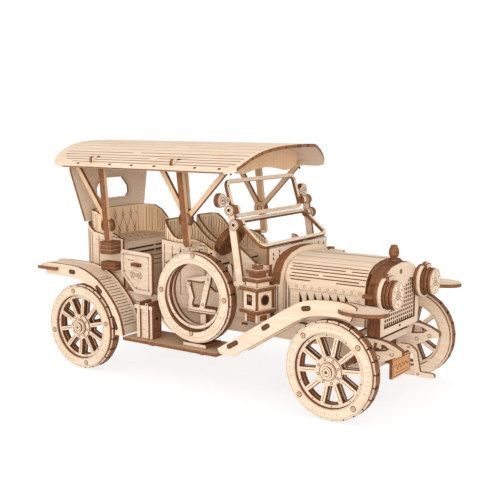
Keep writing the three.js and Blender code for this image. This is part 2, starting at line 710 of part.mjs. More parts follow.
function canopyFrameGeometry(side) {
  const outer = span(side, ...POST_Y);
  const inner = span(side, POST_Y[0] - 2.2, POST_Y[0] + 0.2);
  const posts = [REAR_POST, MIDDLE_POST].map(([a, b]) => plateY(barOutline(a, b, 4.4), ...outer));
  const struts = [[REAR_BOSS, [-14.6, 130.6]], [MIDDLE_BOSS, [105.4, 130.6]],
    [MIDDLE_BOSS, [57.4, 130.6]]].map(([a, b]) => plateY(barOutline(a, b, 3), ...inner));
  const bosses = [REAR_BOSS, MIDDLE_BOSS].map(([x, z]) => rodY(x, z, 4.2, ...inner, 16));
  const rail = box([-24, 108], outer, [130.4, 133.2]);
  const foot = box([75, 81], span(side, SIDE_Y[1] + GAP, POST_Y[0] + 0.4), [84.4, 86.6]);
  return join(...posts, ...struts, ...bosses, rail, foot);
}

const CURTAIN = { x: -19.6, z: 92.3, lean: 5.5 };
const CURTAIN_HALF = [[-29, 0], [-38, 34], [-38, 43.2], [-30, 46.6], [-20, 49.6], [0, 51.4]];
const CURTAIN_WINDOW = [[-13, 14.2], [-15.7, 17], [-15.7, 21.5], [-10.5, 27.9], [0, 27.9]];

function curtainGeometry() {
  const sheet = outline(mirrored(CURTAIN_HALF).reverse());
  const window = mirrored(CURTAIN_WINDOW);
  return plateX(hole(sheet, window), -0.8, 0.8)
    .rotateY(THREE.MathUtils.degToRad(-CURTAIN.lean)).translate(CURTAIN.x, 0, CURTAIN.z);
}

add("roof_canopy", roofGeometry());
for (const [side, sign] of SIDES) {
  add(`canopy_frame_${side}`, canopyFrameGeometry(sign));
}
add("rear_curtain", curtainGeometry());

export default car;
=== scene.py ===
"""Wooden 3D jigsaw model car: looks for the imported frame. Lengths below are millimetres."""

import math

import bmesh
import bpy
from mathutils import Matrix, Vector


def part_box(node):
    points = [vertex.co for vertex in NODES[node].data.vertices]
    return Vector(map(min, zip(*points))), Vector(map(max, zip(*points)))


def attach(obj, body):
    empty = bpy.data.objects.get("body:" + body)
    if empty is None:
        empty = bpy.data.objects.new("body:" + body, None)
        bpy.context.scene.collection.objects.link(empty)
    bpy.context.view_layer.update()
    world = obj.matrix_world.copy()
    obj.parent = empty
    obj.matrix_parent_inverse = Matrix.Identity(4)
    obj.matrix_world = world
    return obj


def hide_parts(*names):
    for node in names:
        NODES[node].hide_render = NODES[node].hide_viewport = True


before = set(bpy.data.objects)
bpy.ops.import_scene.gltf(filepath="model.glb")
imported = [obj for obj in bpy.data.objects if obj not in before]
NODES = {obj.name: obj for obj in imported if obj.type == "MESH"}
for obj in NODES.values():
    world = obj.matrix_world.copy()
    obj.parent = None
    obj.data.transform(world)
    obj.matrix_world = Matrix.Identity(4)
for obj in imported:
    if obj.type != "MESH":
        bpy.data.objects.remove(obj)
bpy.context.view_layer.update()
SIDES = (("right", -1), ("left", 1))

MM = 0.001
REAR_X = (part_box("rear_axle")[0][0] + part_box("rear_axle")[1][0]) / 2 / MM
AXLE_Z = 27.5
WHEELBASE = 184.2


def at(x, y, z):
    """A point given in millimetres, x counted from the rear axle, in the row frame."""
    return Vector(((x + REAR_X) * MM, y * MM, z * MM))


# ---------------- materials

PALE_COLOURS = ((0.60, 0.435, 0.295, 1), (0.755, 0.62, 0.49, 1))
# Tan tones: painted shade on the roof rib faces and the canopy frame, and the own colour of the
# dowel ends.
TAN_COLOURS = ((0.55, 0.345, 0.19, 1), (0.70, 0.49, 0.31, 1))
BURNT_COLOURS = ((0.07, 0.022, 0.007, 1), (0.29, 0.115, 0.043, 1))
SEAT_COLOURS = ((0.70, 0.49, 0.30, 1), (0.84, 0.66, 0.46, 1))
BOARD_COLOURS = ((0.42, 0.26, 0.15, 1), (0.56, 0.38, 0.24, 1))
JOINT_COLOUR = (0.045, 0.014, 0.006, 1)
PLY_M = 0.002


class Nodes:
    """A small helper that adds and links shader nodes."""

    def __init__(self, name):
        self.material = bpy.data.materials.new(name)
        self.material.use_nodes = True
        self.tree = self.material.node_tree
        self.tree.nodes.clear()
        self.shader = self.add("ShaderNodeBsdfPrincipled")
        output = self.add("ShaderNodeOutputMaterial")
        self.link(self.shader.outputs["BSDF"], output.inputs["Surface"])
        self.coords = self.add("ShaderNodeTexCoord")

    def add(self, kind):
        return self.tree.nodes.new(kind)

    def link(self, a, b):
        self.tree.links.new(a, b)

    def math(self, operation, a, b=None, clamp=False):
        node = self.add("ShaderNodeMath")
        node.operation = operation
        node.use_clamp = clamp
        for socket, value in zip(node.inputs, (a, b)):
            if value is None:
                continue
            if isinstance(value, (int, float)):
                socket.default_value = value
            else:
                self.link(value, socket)
        return node.outputs[0]

    def dot(self, vector, axis):
        node = self.add("ShaderNodeVectorMath")
        node.operation = "DOT_PRODUCT"
        self.link(vector, node.inputs[0])
        node.inputs[1].default_value = axis
        return node.outputs["Value"]

    def noise(self, stretch, scale, detail=3.0):
        scaled = self.add("ShaderNodeVectorMath")
        scaled.operation = "MULTIPLY"
        self.link(self.coords.outputs["Object"], scaled.inputs[0])
        scaled.inputs[1].default_value = stretch
        node = self.add("ShaderNodeTexNoise")
        node.inputs["Scale"].default_value = scale
        node.inputs["Detail"].default_value = detail
        self.link(scaled.outputs[0], node.inputs["Vector"])
        return node.outputs["Fac"]

    def mix(self, factor, a, b):
        node = self.add("ShaderNodeMix")
        node.data_type = "RGBA"
        for socket, value in ((node.inputs[0], factor), (node.inputs[6], a), (node.inputs[7], b)):
            if isinstance(value, (tuple, int, float)):
                socket.default_value = value
            else:
                self.link(value, socket)
        return node.outputs[2]

    def bump(self, height, distance, strength=0.5):
        node = self.add("ShaderNodeBump")
        node.inputs["Strength"].default_value = strength
        node.inputs["Distance"].default_value = distance
        self.link(height, node.inputs["Height"])
        self.link(node.outputs["Normal"], self.shader.inputs["Normal"])


def face_colour(nodes, tones, grain):
    fibre = nodes.noise(tuple(40 if k == grain else 900 for k in range(3)), 1.0)
    cloud = nodes.noise((1, 1, 1), 28.0, 2.0)
    spread = nodes.math("MULTIPLY", nodes.math("SUBTRACT", fibre, 0.32), 2.6, clamp=True)
    mixed = nodes.math("ADD", nodes.math("MULTIPLY", spread, 0.6),
                       nodes.math("MULTIPLY", cloud, 0.4), clamp=True)
    return nodes.mix(mixed, tones[0], tones[1]), fibre


def edge_colour(nodes, stack):
    smoke = nodes.noise((1, 1, 1), 420.0, 4.0)
    burnt = nodes.mix(nodes.math("MULTIPLY", smoke, 1.25, clamp=True), *BURNT_COLOURS)
    along = nodes.dot(nodes.coords.outputs["Object"], tuple(c / PLY_M for c in stack))
    near = nodes.math("ABSOLUTE", nodes.math("SUBTRACT", nodes.math("FRACT", along), 0.5))
    joint = nodes.math("MULTIPLY", nodes.math("GREATER_THAN", near, 0.42), 0.6)
    return nodes.mix(joint, burnt, JOINT_COLOUR)


def wood(name, rule=None, axis=(0, 1, 0), limit=0.6, tones=PALE_COLOURS, grain=0, band=None):
    """Plywood. rule "plate": the faces square to axis are pale and the rest is burnt edge.
    rule "sheet": only the faces square to axis are burnt edge. rule "face" and "edge": all one.
    band (axis number, low, high): between those distances from the middle all is pale."""
    nodes = Nodes(name)
    nodes.shader.inputs["Roughness"].default_value = 0.72
    nodes.shader.inputs["Specular IOR Level"].default_value = 0.25
    face, fibre = face_colour(nodes, tones, grain)
    if rule == "face":
        colour = face
    else:
        edge = edge_colour(nodes, axis)
        if rule == "edge":
            colour = edge
        else:
            tilt = nodes.math("ABSOLUTE", nodes.dot(nodes.coords.outputs["Normal"], axis))
            is_face = nodes.math("GREATER_THAN" if rule == "plate" else "LESS_THAN", tilt, limit)
            if band:
                unit = tuple(1.0 if k == band[0] else 0.0 for k in range(3))
                off = nodes.math("ABSOLUTE", nodes.dot(nodes.coords.outputs["Object"], unit))
                inside = nodes.math("MULTIPLY", nodes.math("GREATER_THAN", off, band[1] * MM),
                                    nodes.math("LESS_THAN", off, band[2] * MM))
                is_face = nodes.math("MAXIMUM", is_face, inside)
            colour = nodes.mix(is_face, edge, face)
    nodes.link(colour, nodes.shader.inputs["Base Color"])
    nodes.bump(fibre, 0.00012)
    return nodes.material


def plain(name, low, high, roughness=0.85):
    nodes = Nodes(name)
    nodes.shader.inputs["Roughness"].default_value = roughness
    nodes.shader.inputs["Specular IOR Level"].default_value = 0.15
    smoke = nodes.noise((1, 1, 1), 900.0, 3.0)
    nodes.link(nodes.mix(smoke, low, high), nodes.shader.inputs["Base Color"])
    nodes.bump(smoke, 0.00008)
    return nodes.material


X_AXIS, Y_AXIS, Z_AXIS = (1, 0, 0), (0, 1, 0), (0, 0, 1)
AXES = {"x": X_AXIS, "y": Y_AXIS, "z": Z_AXIS}
PALE = wood("birch_face", "face")
PALE_Z = wood("birch_face_upright", "face", grain=2)
# Birch in the tan tones, standing for a face in shade: painted shade.
SHADED_TAN = wood("birch_face_shaded", "face", tones=TAN_COLOURS, grain=2)
EDGE = {k: wood(f"burnt_edge_{k}", "edge", axis=v) for k, v in AXES.items()}
PLATE = {k: wood(f"birch_plate_{k}", "plate", axis=v) for k, v in AXES.items()}
SHEET = {k: wood(f"birch_sheet_{k}", "sheet", axis=v) for k, v in AXES.items()}
SEAT = wood("birch_seat", "sheet", axis=Z_AXIS, tones=SEAT_COLOURS, grain=2)
BOARD = wood("birch_board", "plate", axis=Z_AXIS, tones=BOARD_COLOURS)
# The canopy frame's faces take the tan tones of the shaded birch: painted shade.
CANOPY = wood("birch_canopy", "sheet", axis=Y_AXIS, tones=TAN_COLOURS, grain=2,
              band=(1, 38.3, 40.9))
FENDER = wood("birch_fender", "plate", axis=Y_AXIS, band=(1, 38.1, 51.9))
SCORCH = plain("engraved_line", (0.06, 0.022, 0.010, 1), (0.17, 0.070, 0.030, 1))
FINE = plain("engraved_hairline", (0.22, 0.11, 0.055, 1), (0.36, 0.20, 0.105, 1))
SLOT = plain("laser_slot", (0.010, 0.005, 0.003, 1), (0.045, 0.018, 0.009, 1))
DOWEL = wood("dowel_end", "face", tones=TAN_COLOURS)
PLATE_COLOURS = ((0.50, 0.23, 0.09, 1), (0.62, 0.31, 0.13, 1))
PLATE_PAINT = wood("number_plate_face", "face", tones=PLATE_COLOURS)


# ---------------- mesh helpers

def circle(cu, cv, radius, sides=24, start=0.0, stop=2 * math.pi):
    whole = abs(stop - start - 2 * math.pi) < 1e-6
    count = sides if whole else sides + 1
    return [(cu + radius * math.cos(start + (stop - start) * i / sides),
             cv + radius * math.sin(start + (stop - start) * i / sides)) for i in range(count)]


def reach(sign, a, b):
    """The y range between two distances from the middle, on one side."""
    return sorted((sign * a, sign * b))


def rounded(u0, u1, v0, v1, radius, sides=4):
    points = []
    for cu, cv, turn in ((u1 - radius, v0 + radius, -90), (u1 - radius, v1 - radius, 0),
                         (u0 + radius, v1 - radius, 90), (u0 + radius, v0 + radius, 180)):
        for i in range(sides + 1):
            a = math.radians(turn + 90 * i / sides)
            points.append((cu + radius * math.cos(a), cv + radius * math.sin(a)))
    return points


def bar(a, b, width, sides=5):
    angle = math.atan2(b[1] - a[1], b[0] - a[0])
    ends = [(b, angle - math.pi / 2), (a, angle + math.pi / 2)]
    return [(c[0] + width / 2 * math.cos(s + math.pi * i / sides),
             c[1] + width / 2 * math.sin(s + math.pi * i / sides))
            for c, s in ends for i in range(sides + 1)]


def rect(u0, u1, v0, v1):
    return [(u0, v0), (u1, v0), (u1, v1), (u0, v1)]


def along(line, x):
    """Height at x of a line of points with rising x, and the upward direction there."""
    for (x0, z0), (x1, z1) in zip(line, line[1:]):
        if x0 <= x <= x1:
            return z0 + (z1 - z0) * (x - x0) / (x1 - x0), (z0 - z1, x1 - x0)
    return line[-1 if x > line[-1][0] else 0][1], (0, 1)


def filled(outline, holes):
    """A flat mesh, one unit thick, from an outline and its holes."""
    curve = bpy.data.curves.new("outline", "CURVE")
    curve.dimensions = "2D"
    curve.fill_mode = "BOTH"
    curve.extrude = 0.5
    for points in (outline, *holes):
        spline = curve.splines.new("POLY")
        spline.points.add(len(points) - 1)
        for target, (u, v) in zip(spline.points, points):
            target.co = (u, v, 0, 1)
        spline.use_cyclic_u = True
    holder = bpy.data.objects.new("outline", curve)
    mesh = bpy.data.meshes.new_from_object(holder)
    bpy.data.objects.remove(holder)
    bpy.data.curves.remove(curve)
    return mesh


class Piece:
    """One object made of plates, discs, boxes and engraved lines. place turns millimetres into
    the row frame."""

    def __init__(self, name, body="chassis", place=None):
        self.name = name
        self.body = body
        self.place = place or (lambda p: at(*p))
        self.mesh = bmesh.new()
        self.materials = []

    def slot(self, material):
        if material not in self.materials:
            self.materials.append(material)
        return self.materials.index(material)

    def plate(self, outline, axis, low, high, holes=(), face=PALE, edge=None):
        flat = filled(outline, holes)
        edge = edge or EDGE[axis]
        middle, depth = (low + high) / 2, high - low
        part = bmesh.new()
        part.from_mesh(flat)
        bpy.data.meshes.remove(flat)
        bmesh.ops.remove_doubles(part, verts=part.verts, dist=1e-4)
        part.normal_update()
        face_slot, edge_slot = self.slot(face), self.slot(edge)
        for f in part.faces:
            f.material_index = face_slot if abs(f.normal.z) > 0.5 else edge_slot
        for v in part.verts:
            u, w, d = v.co
            across = middle + d * depth
            point = {"x": (across, u, w), "y": (u, across, w), "z": (u, w, across)}[axis]
            v.co = self.place(Vector(point))
        self.take(part)

    def take(self, part):
        bmesh.ops.recalc_face_normals(part, faces=part.faces)
        spare = bpy.data.meshes.new("part")
        part.to_mesh(spare)
        part.free()
        self.mesh.from_mesh(spare)
        bpy.data.meshes.remove(spare)

    def disc(self, centre, axis, radius, depth, inner=0.0, face=PALE, edge=None, sides=24):
        """A disc or ring centred on a point; depth is (from, to) along the axis from there."""
        k = "xyz".index(axis)
        u, v = [centre[i] for i in range(3) if i != k]
        holes = [circle(u, v, inner, sides)] if inner else []
        low, high = sorted((centre[k] + depth[0], centre[k] + depth[1]))
        self.plate(circle(u, v, radius, sides), axis, low, high, holes, face, edge)

    def box(self, xs, ys, zs, material):
        self.solid(rect(*xs, *zs), "y", min(ys), max(ys), material)

    def mark(self, centre, axis, radius, inner=0.0, material=SCORCH, sides=12,
             depth=(-0.06, 0.06)):
        """A thin dark dot or ring, just proud of a surface."""
        self.disc(centre, axis, radius, depth, inner, material, material, sides)

    def solid(self, outline, axis, low, high, material=SLOT):
        """A plate of one material all round."""
        self.plate(outline, axis, low, high, face=material, edge=material)

    def loop(self, points, width, normal, material=SCORCH):
        """An engraved line that ends where it starts."""
        self.line([*points, points[0]], width, normal, material)

    def line(self, points, width, normal, material=SCORCH, lift=0.05, thick=0.05):
        """An engraved line along points, as a thin strip lying on the surface."""
        index = self.slot(material)
        points = [Vector(p) for p in points]
        normal = Vector(normal).normalized()
        for a, b in zip(points, points[1:]):
            along = (b - a)
            if along.length < 1e-6:
                continue
            side = along.normalized().cross(normal) * (width / 2)
            tuck = along.normalized() * (width * 0.15)
            low = normal * (lift - thick)
            high = normal * lift
            corners = [a - tuck - side, a - tuck + side, b + tuck + side, b + tuck - side]
            verts = [self.mesh.verts.new(self.place(c + d)) for d in (low, high) for c in corners]
            quads = [(3, 2, 1, 0), (4, 5, 6, 7), (0, 1, 5, 4), (1, 2, 6, 5), (2, 3, 7, 6),
                     (3, 0, 4, 7)]
            for quad in quads:
                made = self.mesh.faces.new([verts[i] for i in quad])
                made.material_index = index

    def done(self, replaces=()):
        bmesh.ops.recalc_face_normals(self.mesh, faces=self.mesh.faces)
        data = bpy.data.meshes.new(self.name)
        self.mesh.to_mesh(data)
        self.mesh.free()
        for material in self.materials:
            data.materials.append(material)
        piece = bpy.data.objects.new(self.name, data)
        bpy.context.scene.collection.objects.link(piece)
        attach(piece, self.body)
        if replaces:
            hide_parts(*replaces)
        return piece


def finish_node(name, material):
    node = NODES[name]
    node.data.materials.clear()
    node.data.materials.append(material)


def turned(origin, degrees, axis="Y"):
    """A place function for a group turned about an axis through origin."""
    turn = Matrix.Rotation(math.radians(degrees), 3, axis)
    return lambda p: at(*(Vector(origin) + turn @ Vector(p)))


# ---------------- wheels

TYRE_R, HOLE_R = 27.5, 20.7
WHEEL_FACE_Y = 56.5
SPOKES = 10
NOTCHES = 24
TREAD_STEP = 1.9


def spoke_way(angle):
    return Vector((math.cos(angle), 0, math.sin(angle)))


def spaced(radius, count, phase):
    """Points at equal angles round a circle about the origin."""
    angles = [phase + i * 2 * math.pi / count for i in range(count)]
    return [(radius * math.cos(a), radius * math.sin(a)) for a in angles]


def spoke_holes(half_bar, rim, hub, phase):
    """Outlines of the windows between the spokes of one layer."""
    holes = []
    for i in range(SPOKES):
        middle = phase + (i + 0.5) * 2 * math.pi / SPOKES
        wide = math.pi / SPOKES - half_bar / rim
        narrow = math.pi / SPOKES - half_bar / hub
        corners = [(rim, middle + t * wide) for t in (-1, -0.5, 0, 0.5, 1)]
        corners += [(hub, middle + t * narrow) for t in (1, -1)]
        holes.append([(r * math.cos(a), r * math.sin(a)) for r, a in corners])
    return holes


def tyre_details(name, body, place, phase):
    """Dowels, notches and ticks. In place's frame the wheel's outer face is at y = 0 and the
    rest is at positive y."""
    piece = Piece(name, body, place)
    for u, v in spaced(23.6, 4, phase):
        piece.mark((u, 0, v), "y", 1.65, 1.15, SCORCH, 16, (-0.06, 0.1))
        piece.disc((u, 0, v), "y", 1.15, (-0.22, 0.1), 0, DOWEL, EDGE["y"], 16)
        piece.mark((u, 0, v), "y", 0.5, 0, FINE, 10, (-0.26, 0.0))
    for i in range(NOTCHES):
        radial = spoke_way(phase + (i + 0.5) * 2 * math.pi / NOTCHES)
        step = Vector((0, TREAD_STEP, 0))
        piece.line([radial * 26.5 + step, radial * TYRE_R + step], 0.75, (0, -1, 0), SLOT)
        for start, stop, width in ((1.9, 2.9, 0.75), (3.9, 5.3, 1.5)):
            piece.line([radial * TYRE_R + Vector((0, y, 0)) for y in (start, stop)], width, radial,
                       SLOT, lift=0.12)
    for i in range(4):
        for j in range(7):
            radial = spoke_way(phase + i * math.pi / 2 + math.radians(27 + 6 * j))
            tick = 0.7 if j % 3 else 1.3
            piece.line([radial * (24.2 - tick), radial * (24.2 + tick * 0.4)], 0.22, (0, -1, 0),
                       FINE)
    for radius in (25.9, 21.3):
        piece.loop([(u, 0, v) for u, v in circle(0, 0, radius, 48)], 0.14, (0, -1, 0), FINE)
    return piece.done()


def spokes_details(name, body, place, phase, node):
    """Two pale spoked layers with a burnt core between them, in place of the CAD spokes."""
    piece = Piece(name, body, place)
    outer, rim, hub = HOLE_R - 0.4, 18.7, 8.2
    for low, high in ((1.6, 3.4), (5.6, 7.4)):
        holes = [circle(0, 0, 2.4, 12), *spoke_holes(1.25, rim, hub, phase)]
        piece.plate(circle(0, 0, outer, 60), "y", low, high, holes)
    core = [circle(0, 0, 2.4, 12), *spoke_holes(0.8, rim - 0.8, hub - 0.6, phase)]
    piece.plate(circle(0, 0, outer, 60), "y", 3.4, 5.6, core, EDGE["y"], EDGE["y"])
    for u, v in spaced(19.5, SPOKES, phase + math.pi / SPOKES):
        piece.mark((u, 1.6, v), "y", 0.38, 0, SCORCH, 8, (-0.08, 0.02))
    for i in range(SPOKES):
        radial = spoke_way(phase + i * 2 * math.pi / SPOKES)
        face = Vector((0, 1.6, 0))
        piece.line([radial * 9.4 + face, radial * 17.8 + face], 0.3, (0, -1, 0))
    return piece.done([node])


def hub_details(name, body, place, phase):
    """Rivets on the flange, a ring on the step and the dowel end of the axle."""
    piece = Piece(name, body, place)
    for u, v in spaced(6.6, 8, phase + math.pi / 8):
        piece.mark((u, 0.4, v), "y", 0.8, 0.5, SCORCH, 12, (-0.08, 0.02))
    piece.mark((0, 0, 0), "y", 3.2, 2.0, SCORCH, 20, (-2.06, -1.98))
    piece.disc((0, 0, 0), "y", 2.0, (-2.1, -1.6), 0, PALE, EDGE["y"], 20)
    piece.mark((0, 0, 0), "y", 0.9, 0, SCORCH, 14, (-2.16, -2.0))
    piece.mark((0, -0.8, 0), "y", 4.9, 4.6, SCORCH, 24, (-0.08, 0.02))
    return piece.done()


def outward(x, sign, face_y, z):
    """Millimetres about a wheel's centre, y counted inwards from its outer face."""
    return lambda p: at(x + p[0], sign * (face_y - p[1]), z + p[2])


WHEEL_PHASE = {"front": math.radians(41.3), "rear": math.radians(12.0)}
for place_name, x in (("front", WHEELBASE), ("rear", 0.0)):
    for side, sign in SIDES:
        stem = f"wheel_{place_name}_{side}"
        body = f"{place_name}_wheelset"
        where = outward(x, sign, WHEEL_FACE_Y, AXLE_Z)
        turn = WHEEL_PHASE[place_name]
        tyre_details(f"{stem}_tyre_details", body, where, turn)
        spokes_details(f"{stem}_spokes_layers", body, where, turn, f"{stem}_spokes")
        hub_details(f"{stem}_hub_details", body, where, turn)
        finish_node(f"{stem}_tyre", PLATE["y"])
        finish_node(f"{stem}_hub", PLATE["y"])
    finish_node(f"{place_name}_axle", EDGE["y"])

SPARE = (87.5, 50.1, 57.4)
SPARE_PHASE = math.radians(-2.0)
tyre_details("spare_tyre_details", "chassis", outward(SPARE[0], -1, SPARE[1], SPARE[2]),
             SPARE_PHASE)
finish_node("spare_tyre", PLATE["y"])


def spare_rings():
    """Inner layers of the spare tyre and their dots."""
    piece = Piece("spare_tyre_inner_rings", place=outward(SPARE[0], -1, SPARE[1], SPARE[2]))
    for low, high, inner in ((1.9, 3.7, 19.1), (6.8, 8.8, 19.5)):
        piece.disc((0, 0, 0), "y", 20.9, (low, high), inner, sides=48)
    for u, v in spaced(19.8, SPOKES, math.radians(7)):
        piece.mark((u, 1.9, v), "y", 0.36, 0, SCORCH, 8, (-0.07, 0.02))
    return piece.done()


spare_rings()

# ---------------- carried-over nodes

STEERING = wood("steering_stack", "edge", axis=(0.819, 0, -0.574))
UPPER_FRAME = wood("upper_frame_ply", "plate", axis=(0.956, 0, 0.292), limit=0.8)
LOWER_FRAME = wood("lower_frame_ply", "plate", axis=(0.643, 0, 0.766), limit=0.8)
PAIRED_NODES = (
    (PLATE["y"], ("chassis_rail", "door", "windshield_post")),
    (PLATE["x"], ("headlight", "mirror")),
    (PLATE["z"], ("lantern",)),
    (SHEET["z"], ("body_side",)),
    (SHEET["x"], ("hood_leaf",)),
    (BOARD, ("running_board",)),
    (FENDER, ("rear_fender", "front_fender")),
    (SEAT, ("front_seat_back",)),
    (PALE_Z, ("front_seat_cushion",)),
    (CANOPY, ("canopy_frame",)),
)
SINGLE_NODES = (
    (PLATE["x"], ("number_plate", "scuttle", "radiator_shell", "rear_curtain")),
    (PLATE["y"], ("hand_crank", "tool_box", "spare_bracket", "hand_lever")),
    (PLATE["z"], ("floor_deck",)),
    (SHEET["x"], ("roof_canopy",)),
    (EDGE["z"], ("radiator_cap",)),
    (SEAT, ("rear_seat_back",)),
    (PALE_Z, ("rear_seat_cushion",)),
    (STEERING, ("steering_wheel",)),
    (UPPER_FRAME, ("windshield_upper_frame",)),
    (LOWER_FRAME, ("windshield_lower_frame",)),
)
for material, stems in PAIRED_NODES:
    for stem in stems:
        for side, _ in SIDES:
            finish_node(f"{stem}_{side}", material)
for material, names in SINGLE_NODES:
    for name in names:
        finish_node(name, material)

# ---------------- canopy

ROOF_HALF, ROOF_CROWN_Z, ROOF_EDGE_Z = 51.3, 146.0, 132.0
ROOF_SLOTS_X = (-3.3, 24.1, 41.8, 60.0, 90.8, 108.5)
ROOF_CLIPS_X = (7.5, 72.8)
ROOF_LINES = ((48.6, -10, 114), (46.7, -17, 117.5), (44.6, -20, 52), (44.3, 58, 119),
              (42.2, -22, 120), (39.2, -23, 34), (38.8, 40, 121.5))
ROOF_HAIRLINES = ((35, -25, 123), (30, -26, 62), (29.6, 70, 125), (24, -27, 126), (17, -27, 90))
BOSSES = ((12.4, 93.0), (76.4, 101.0))
STRUTS = ((BOSSES[0], (-14.6, 130.6)), (BOSSES[1], (105.4, 130.6)), (BOSSES[1], (57.4, 130.6)))
STRUT_HALF = 1.5
RIBS_X = (6, 74, 106)
RIB_LOWER = ((37, 135), (35.4, 131.2), (30, 129), (24, 128.4), (12, 130.4), (0, 131.4))


def roof_z(y):
    """Height of the roof sheet, which is faceted across the car."""
    steps = abs(y) / ROOF_HALF * 10
    low = min(int(steps), 9)
    a, b = (ROOF_CROWN_Z - (ROOF_CROWN_Z - ROOF_EDGE_Z) * (k / 10) ** 3 for k in (low, low + 1))
    return a + (b - a) * (steps - low)


def roof_normal(y):
    return (0, (roof_z(y - 0.2) - roof_z(y + 0.2)) / 0.4, 1)


def roof_details(side, sign):
    """Engraved lines, slots and clips on one half of the roof."""
    piece = Piece(f"roof_details_{side}")
    for lines, width, material in ((ROOF_LINES, 0.42, SCORCH), (ROOF_HAIRLINES, 0.22, FINE)):
        for y, x0, x1 in lines:
            y *= sign
            piece.line([(x0, y, roof_z(y)), (x1, y, roof_z(y))], width, roof_normal(y), material)
    for x in ROOF_SLOTS_X:
        y = sign * 50.3
        piece.line([(x - 0.8, y, roof_z(y)), (x + 0.8, y, roof_z(y))], 1.3, roof_normal(y), SLOT)
    piece.line([(-16, sign * ROOF_HALF, 130.5), (112, sign * ROOF_HALF, 130.5)], 0.8, (0, sign, 0),
               EDGE["y"])
    for x in ROOF_CLIPS_X:
        piece.plate(circle(sign * 47.4, 134.9, 2.5, 18), "x", x - 1.1, x + 1.1)
        y = sign * 44.4
        piece.line([(x + 0.6, y, roof_z(y)), (x + 2.6, y, roof_z(y))], 1.5, roof_normal(y), SLOT,
                   lift=0.08)
    return piece.done()


def rib_faces():
    """Front and rear faces of the three roof ribs, in the shaded tan: painted shade under the roof.
    """
    piece = Piece("roof_rib_faces")
    top = [(y, roof_z(y) - 2.1) for y in range(-36, 37, 6)]
    points = [*top, *RIB_LOWER, *((-y, z) for y, z in reversed(RIB_LOWER[:-1]))]
    for x in RIBS_X:
        for way in (-1, 1):
            # The rib faces take the shaded tan: painted shade.
            piece.plate(points, "x", *sorted((x + way, x + way * 1.06)), face=SHADED_TAN)
    return piece.done()


def canopy_details(side, sign):
    """Burnt strut edges, boss rings and dowel dots of one side frame."""
    piece = Piece(f"canopy_frame_{side}_details")
    for a, b in STRUTS:
        way = (Vector(b) - Vector(a)).normalized()
        for k in (-1, 1):
            normal = Vector((-way[1], way[0])) * k
            ends = [Vector(a) + normal * STRUT_HALF + way * 3.4,
                    Vector(b) + normal * STRUT_HALF + way * 0.4]
            piece.line([(p[0], sign * 39.6, p[1]) for p in ends], 2.1, (normal[0], 0, normal[1]),
                       EDGE["y"])
    for x, z in BOSSES:
        for y in (38.4, 40.8):
            piece.mark((x, sign * y, z), "y", 2.0, 1.4, SCORCH, 16, (-0.05, 0.05))
        piece.disc((x, sign * 40.6, z), "y", 4.3, (-2.3, 2.2), 4.1, EDGE["y"], EDGE["y"], 24)
    for x in (108, -17):
        piece.mark((x, sign * 38.4, 129), "y", 0.7, 0, SLOT, 10, (-0.05, 0.05))
    for x, z in ((11.5, 122), (75.6, 123)):
        for drop in (0, 3.4):
            piece.mark((x, sign * 41.8, z - drop), "x", 0.55, 0, SLOT, 10, (-0.1, 0.3))
    return piece.done()


def curtain_details():
    """Two engraved lines round the window, on both faces of the leaning curtain."""
    piece = Piece("rear_curtain_details", place=turned((-19.6, 0, 92.3), -5.5))
    half = [(-13, 14.2), (-15.7, 17), (-15.7, 21.5), (-10.5, 27.9)]
    window = half + [(-u, v) for u, v in reversed(half)]
    for x, way in ((0.8, 1), (-0.8, -1)):
        for k in (1.06, 1.14):
            points = [(x, u * k, 21 + (v - 21) * (2 * k - 1)) for u, v in window]
            piece.loop(points, 0.18, (way, 0, 0), FINE)
    return piece.done()


for side, sign in SIDES:
    roof_details(side, sign)
    canopy_details(side, sign)
curtain_details()
rib_faces()

# ---------------- seats

REAR_SEAT = {"back": -18.6, "half": 30.6, "corner": 12.0, "thick": 2.0, "centre": 0.0}
BUCKET = {"back": 46.4, "half": 14.3, "corner": 9.0, "thick": 2.2, "centre": 16.3}
REAR_ARM = ((-20, 100.4), (-8, 99.6), (-1.7, 96.6), (3.4, 91.4), (6, 86.4), (11.6, 84),
            (15.6, 80.6), (17, 76.6))
BUCKET_OUTER_ARM = ((45, 98), (49.6, 97), (54, 92.4), (58, 88), (62, 86.6), (68, 87.2), (75, 87.4),
                    (82, 85.6), (87.4, 82), (90, 78))
BUCKET_INNER_ARM = ((45, 98), (50.6, 97), (55, 93.2), (60, 88), (66, 83.6), (75, 80.2), (82, 79),
                    (84, 76))


def shell_points(seat, inset, front, side, step):
    """Points and outward directions round one half of a seat shell seen from above."""
    found = []
    radius = seat["corner"] - inset
    x = front
    while x > seat["back"] + seat["corner"]:
        found.append((x, side * (seat["half"] - inset), 0.0, side))
        x -= step
    turn = step / radius
    a = math.pi / 2 + turn / 2
    while a < math.pi:
        found.append((seat["back"] + seat["corner"] + radius * math.cos(a),
                      side * (seat["half"] - seat["corner"] + radius * math.sin(a)),
                      math.cos(a), side * math.sin(a)))
        a += turn
    y = seat["half"] - seat["corner"]
    while y > 0.4:
        found.append((seat["back"] + inset, side * y, -1.0, 0.0))
        y -= step
    return found


def flutes(piece, seat, side, arm, front, step, low, inside, wave, skip_back=False):
    """Upright cuts round one half of a seat shell, straight or with a slight wave."""
    inset = seat["thick"] if inside else 0.0
    for i, (x, y, nx, ny) in enumerate(shell_points(seat, inset, front, side, step)):
        if skip_back and nx == -1.0:
            continue
        normal = Vector((nx, ny, 0)) * (-1 if inside else 1)
        across = Vector((-ny, nx, 0))
        top = along(arm, x)[0] - 1.0 - 0.5 * (i % 2)
        base = low + 1.5 * (i % 3 == 0)
        if top - base < 3:
            continue
        count = 7 if wave else 1
        points = []
        for k in range(count + 1):
            z = base + (top - base) * k / count
            sway = wave * math.sin(k * 1.9 + i)
            points.append(Vector((x, y + seat["centre"], z)) + across * sway)
        piece.line(points, 0.34, normal, SCORCH if i % 2 else FINE, lift=0.08, thick=0.2)


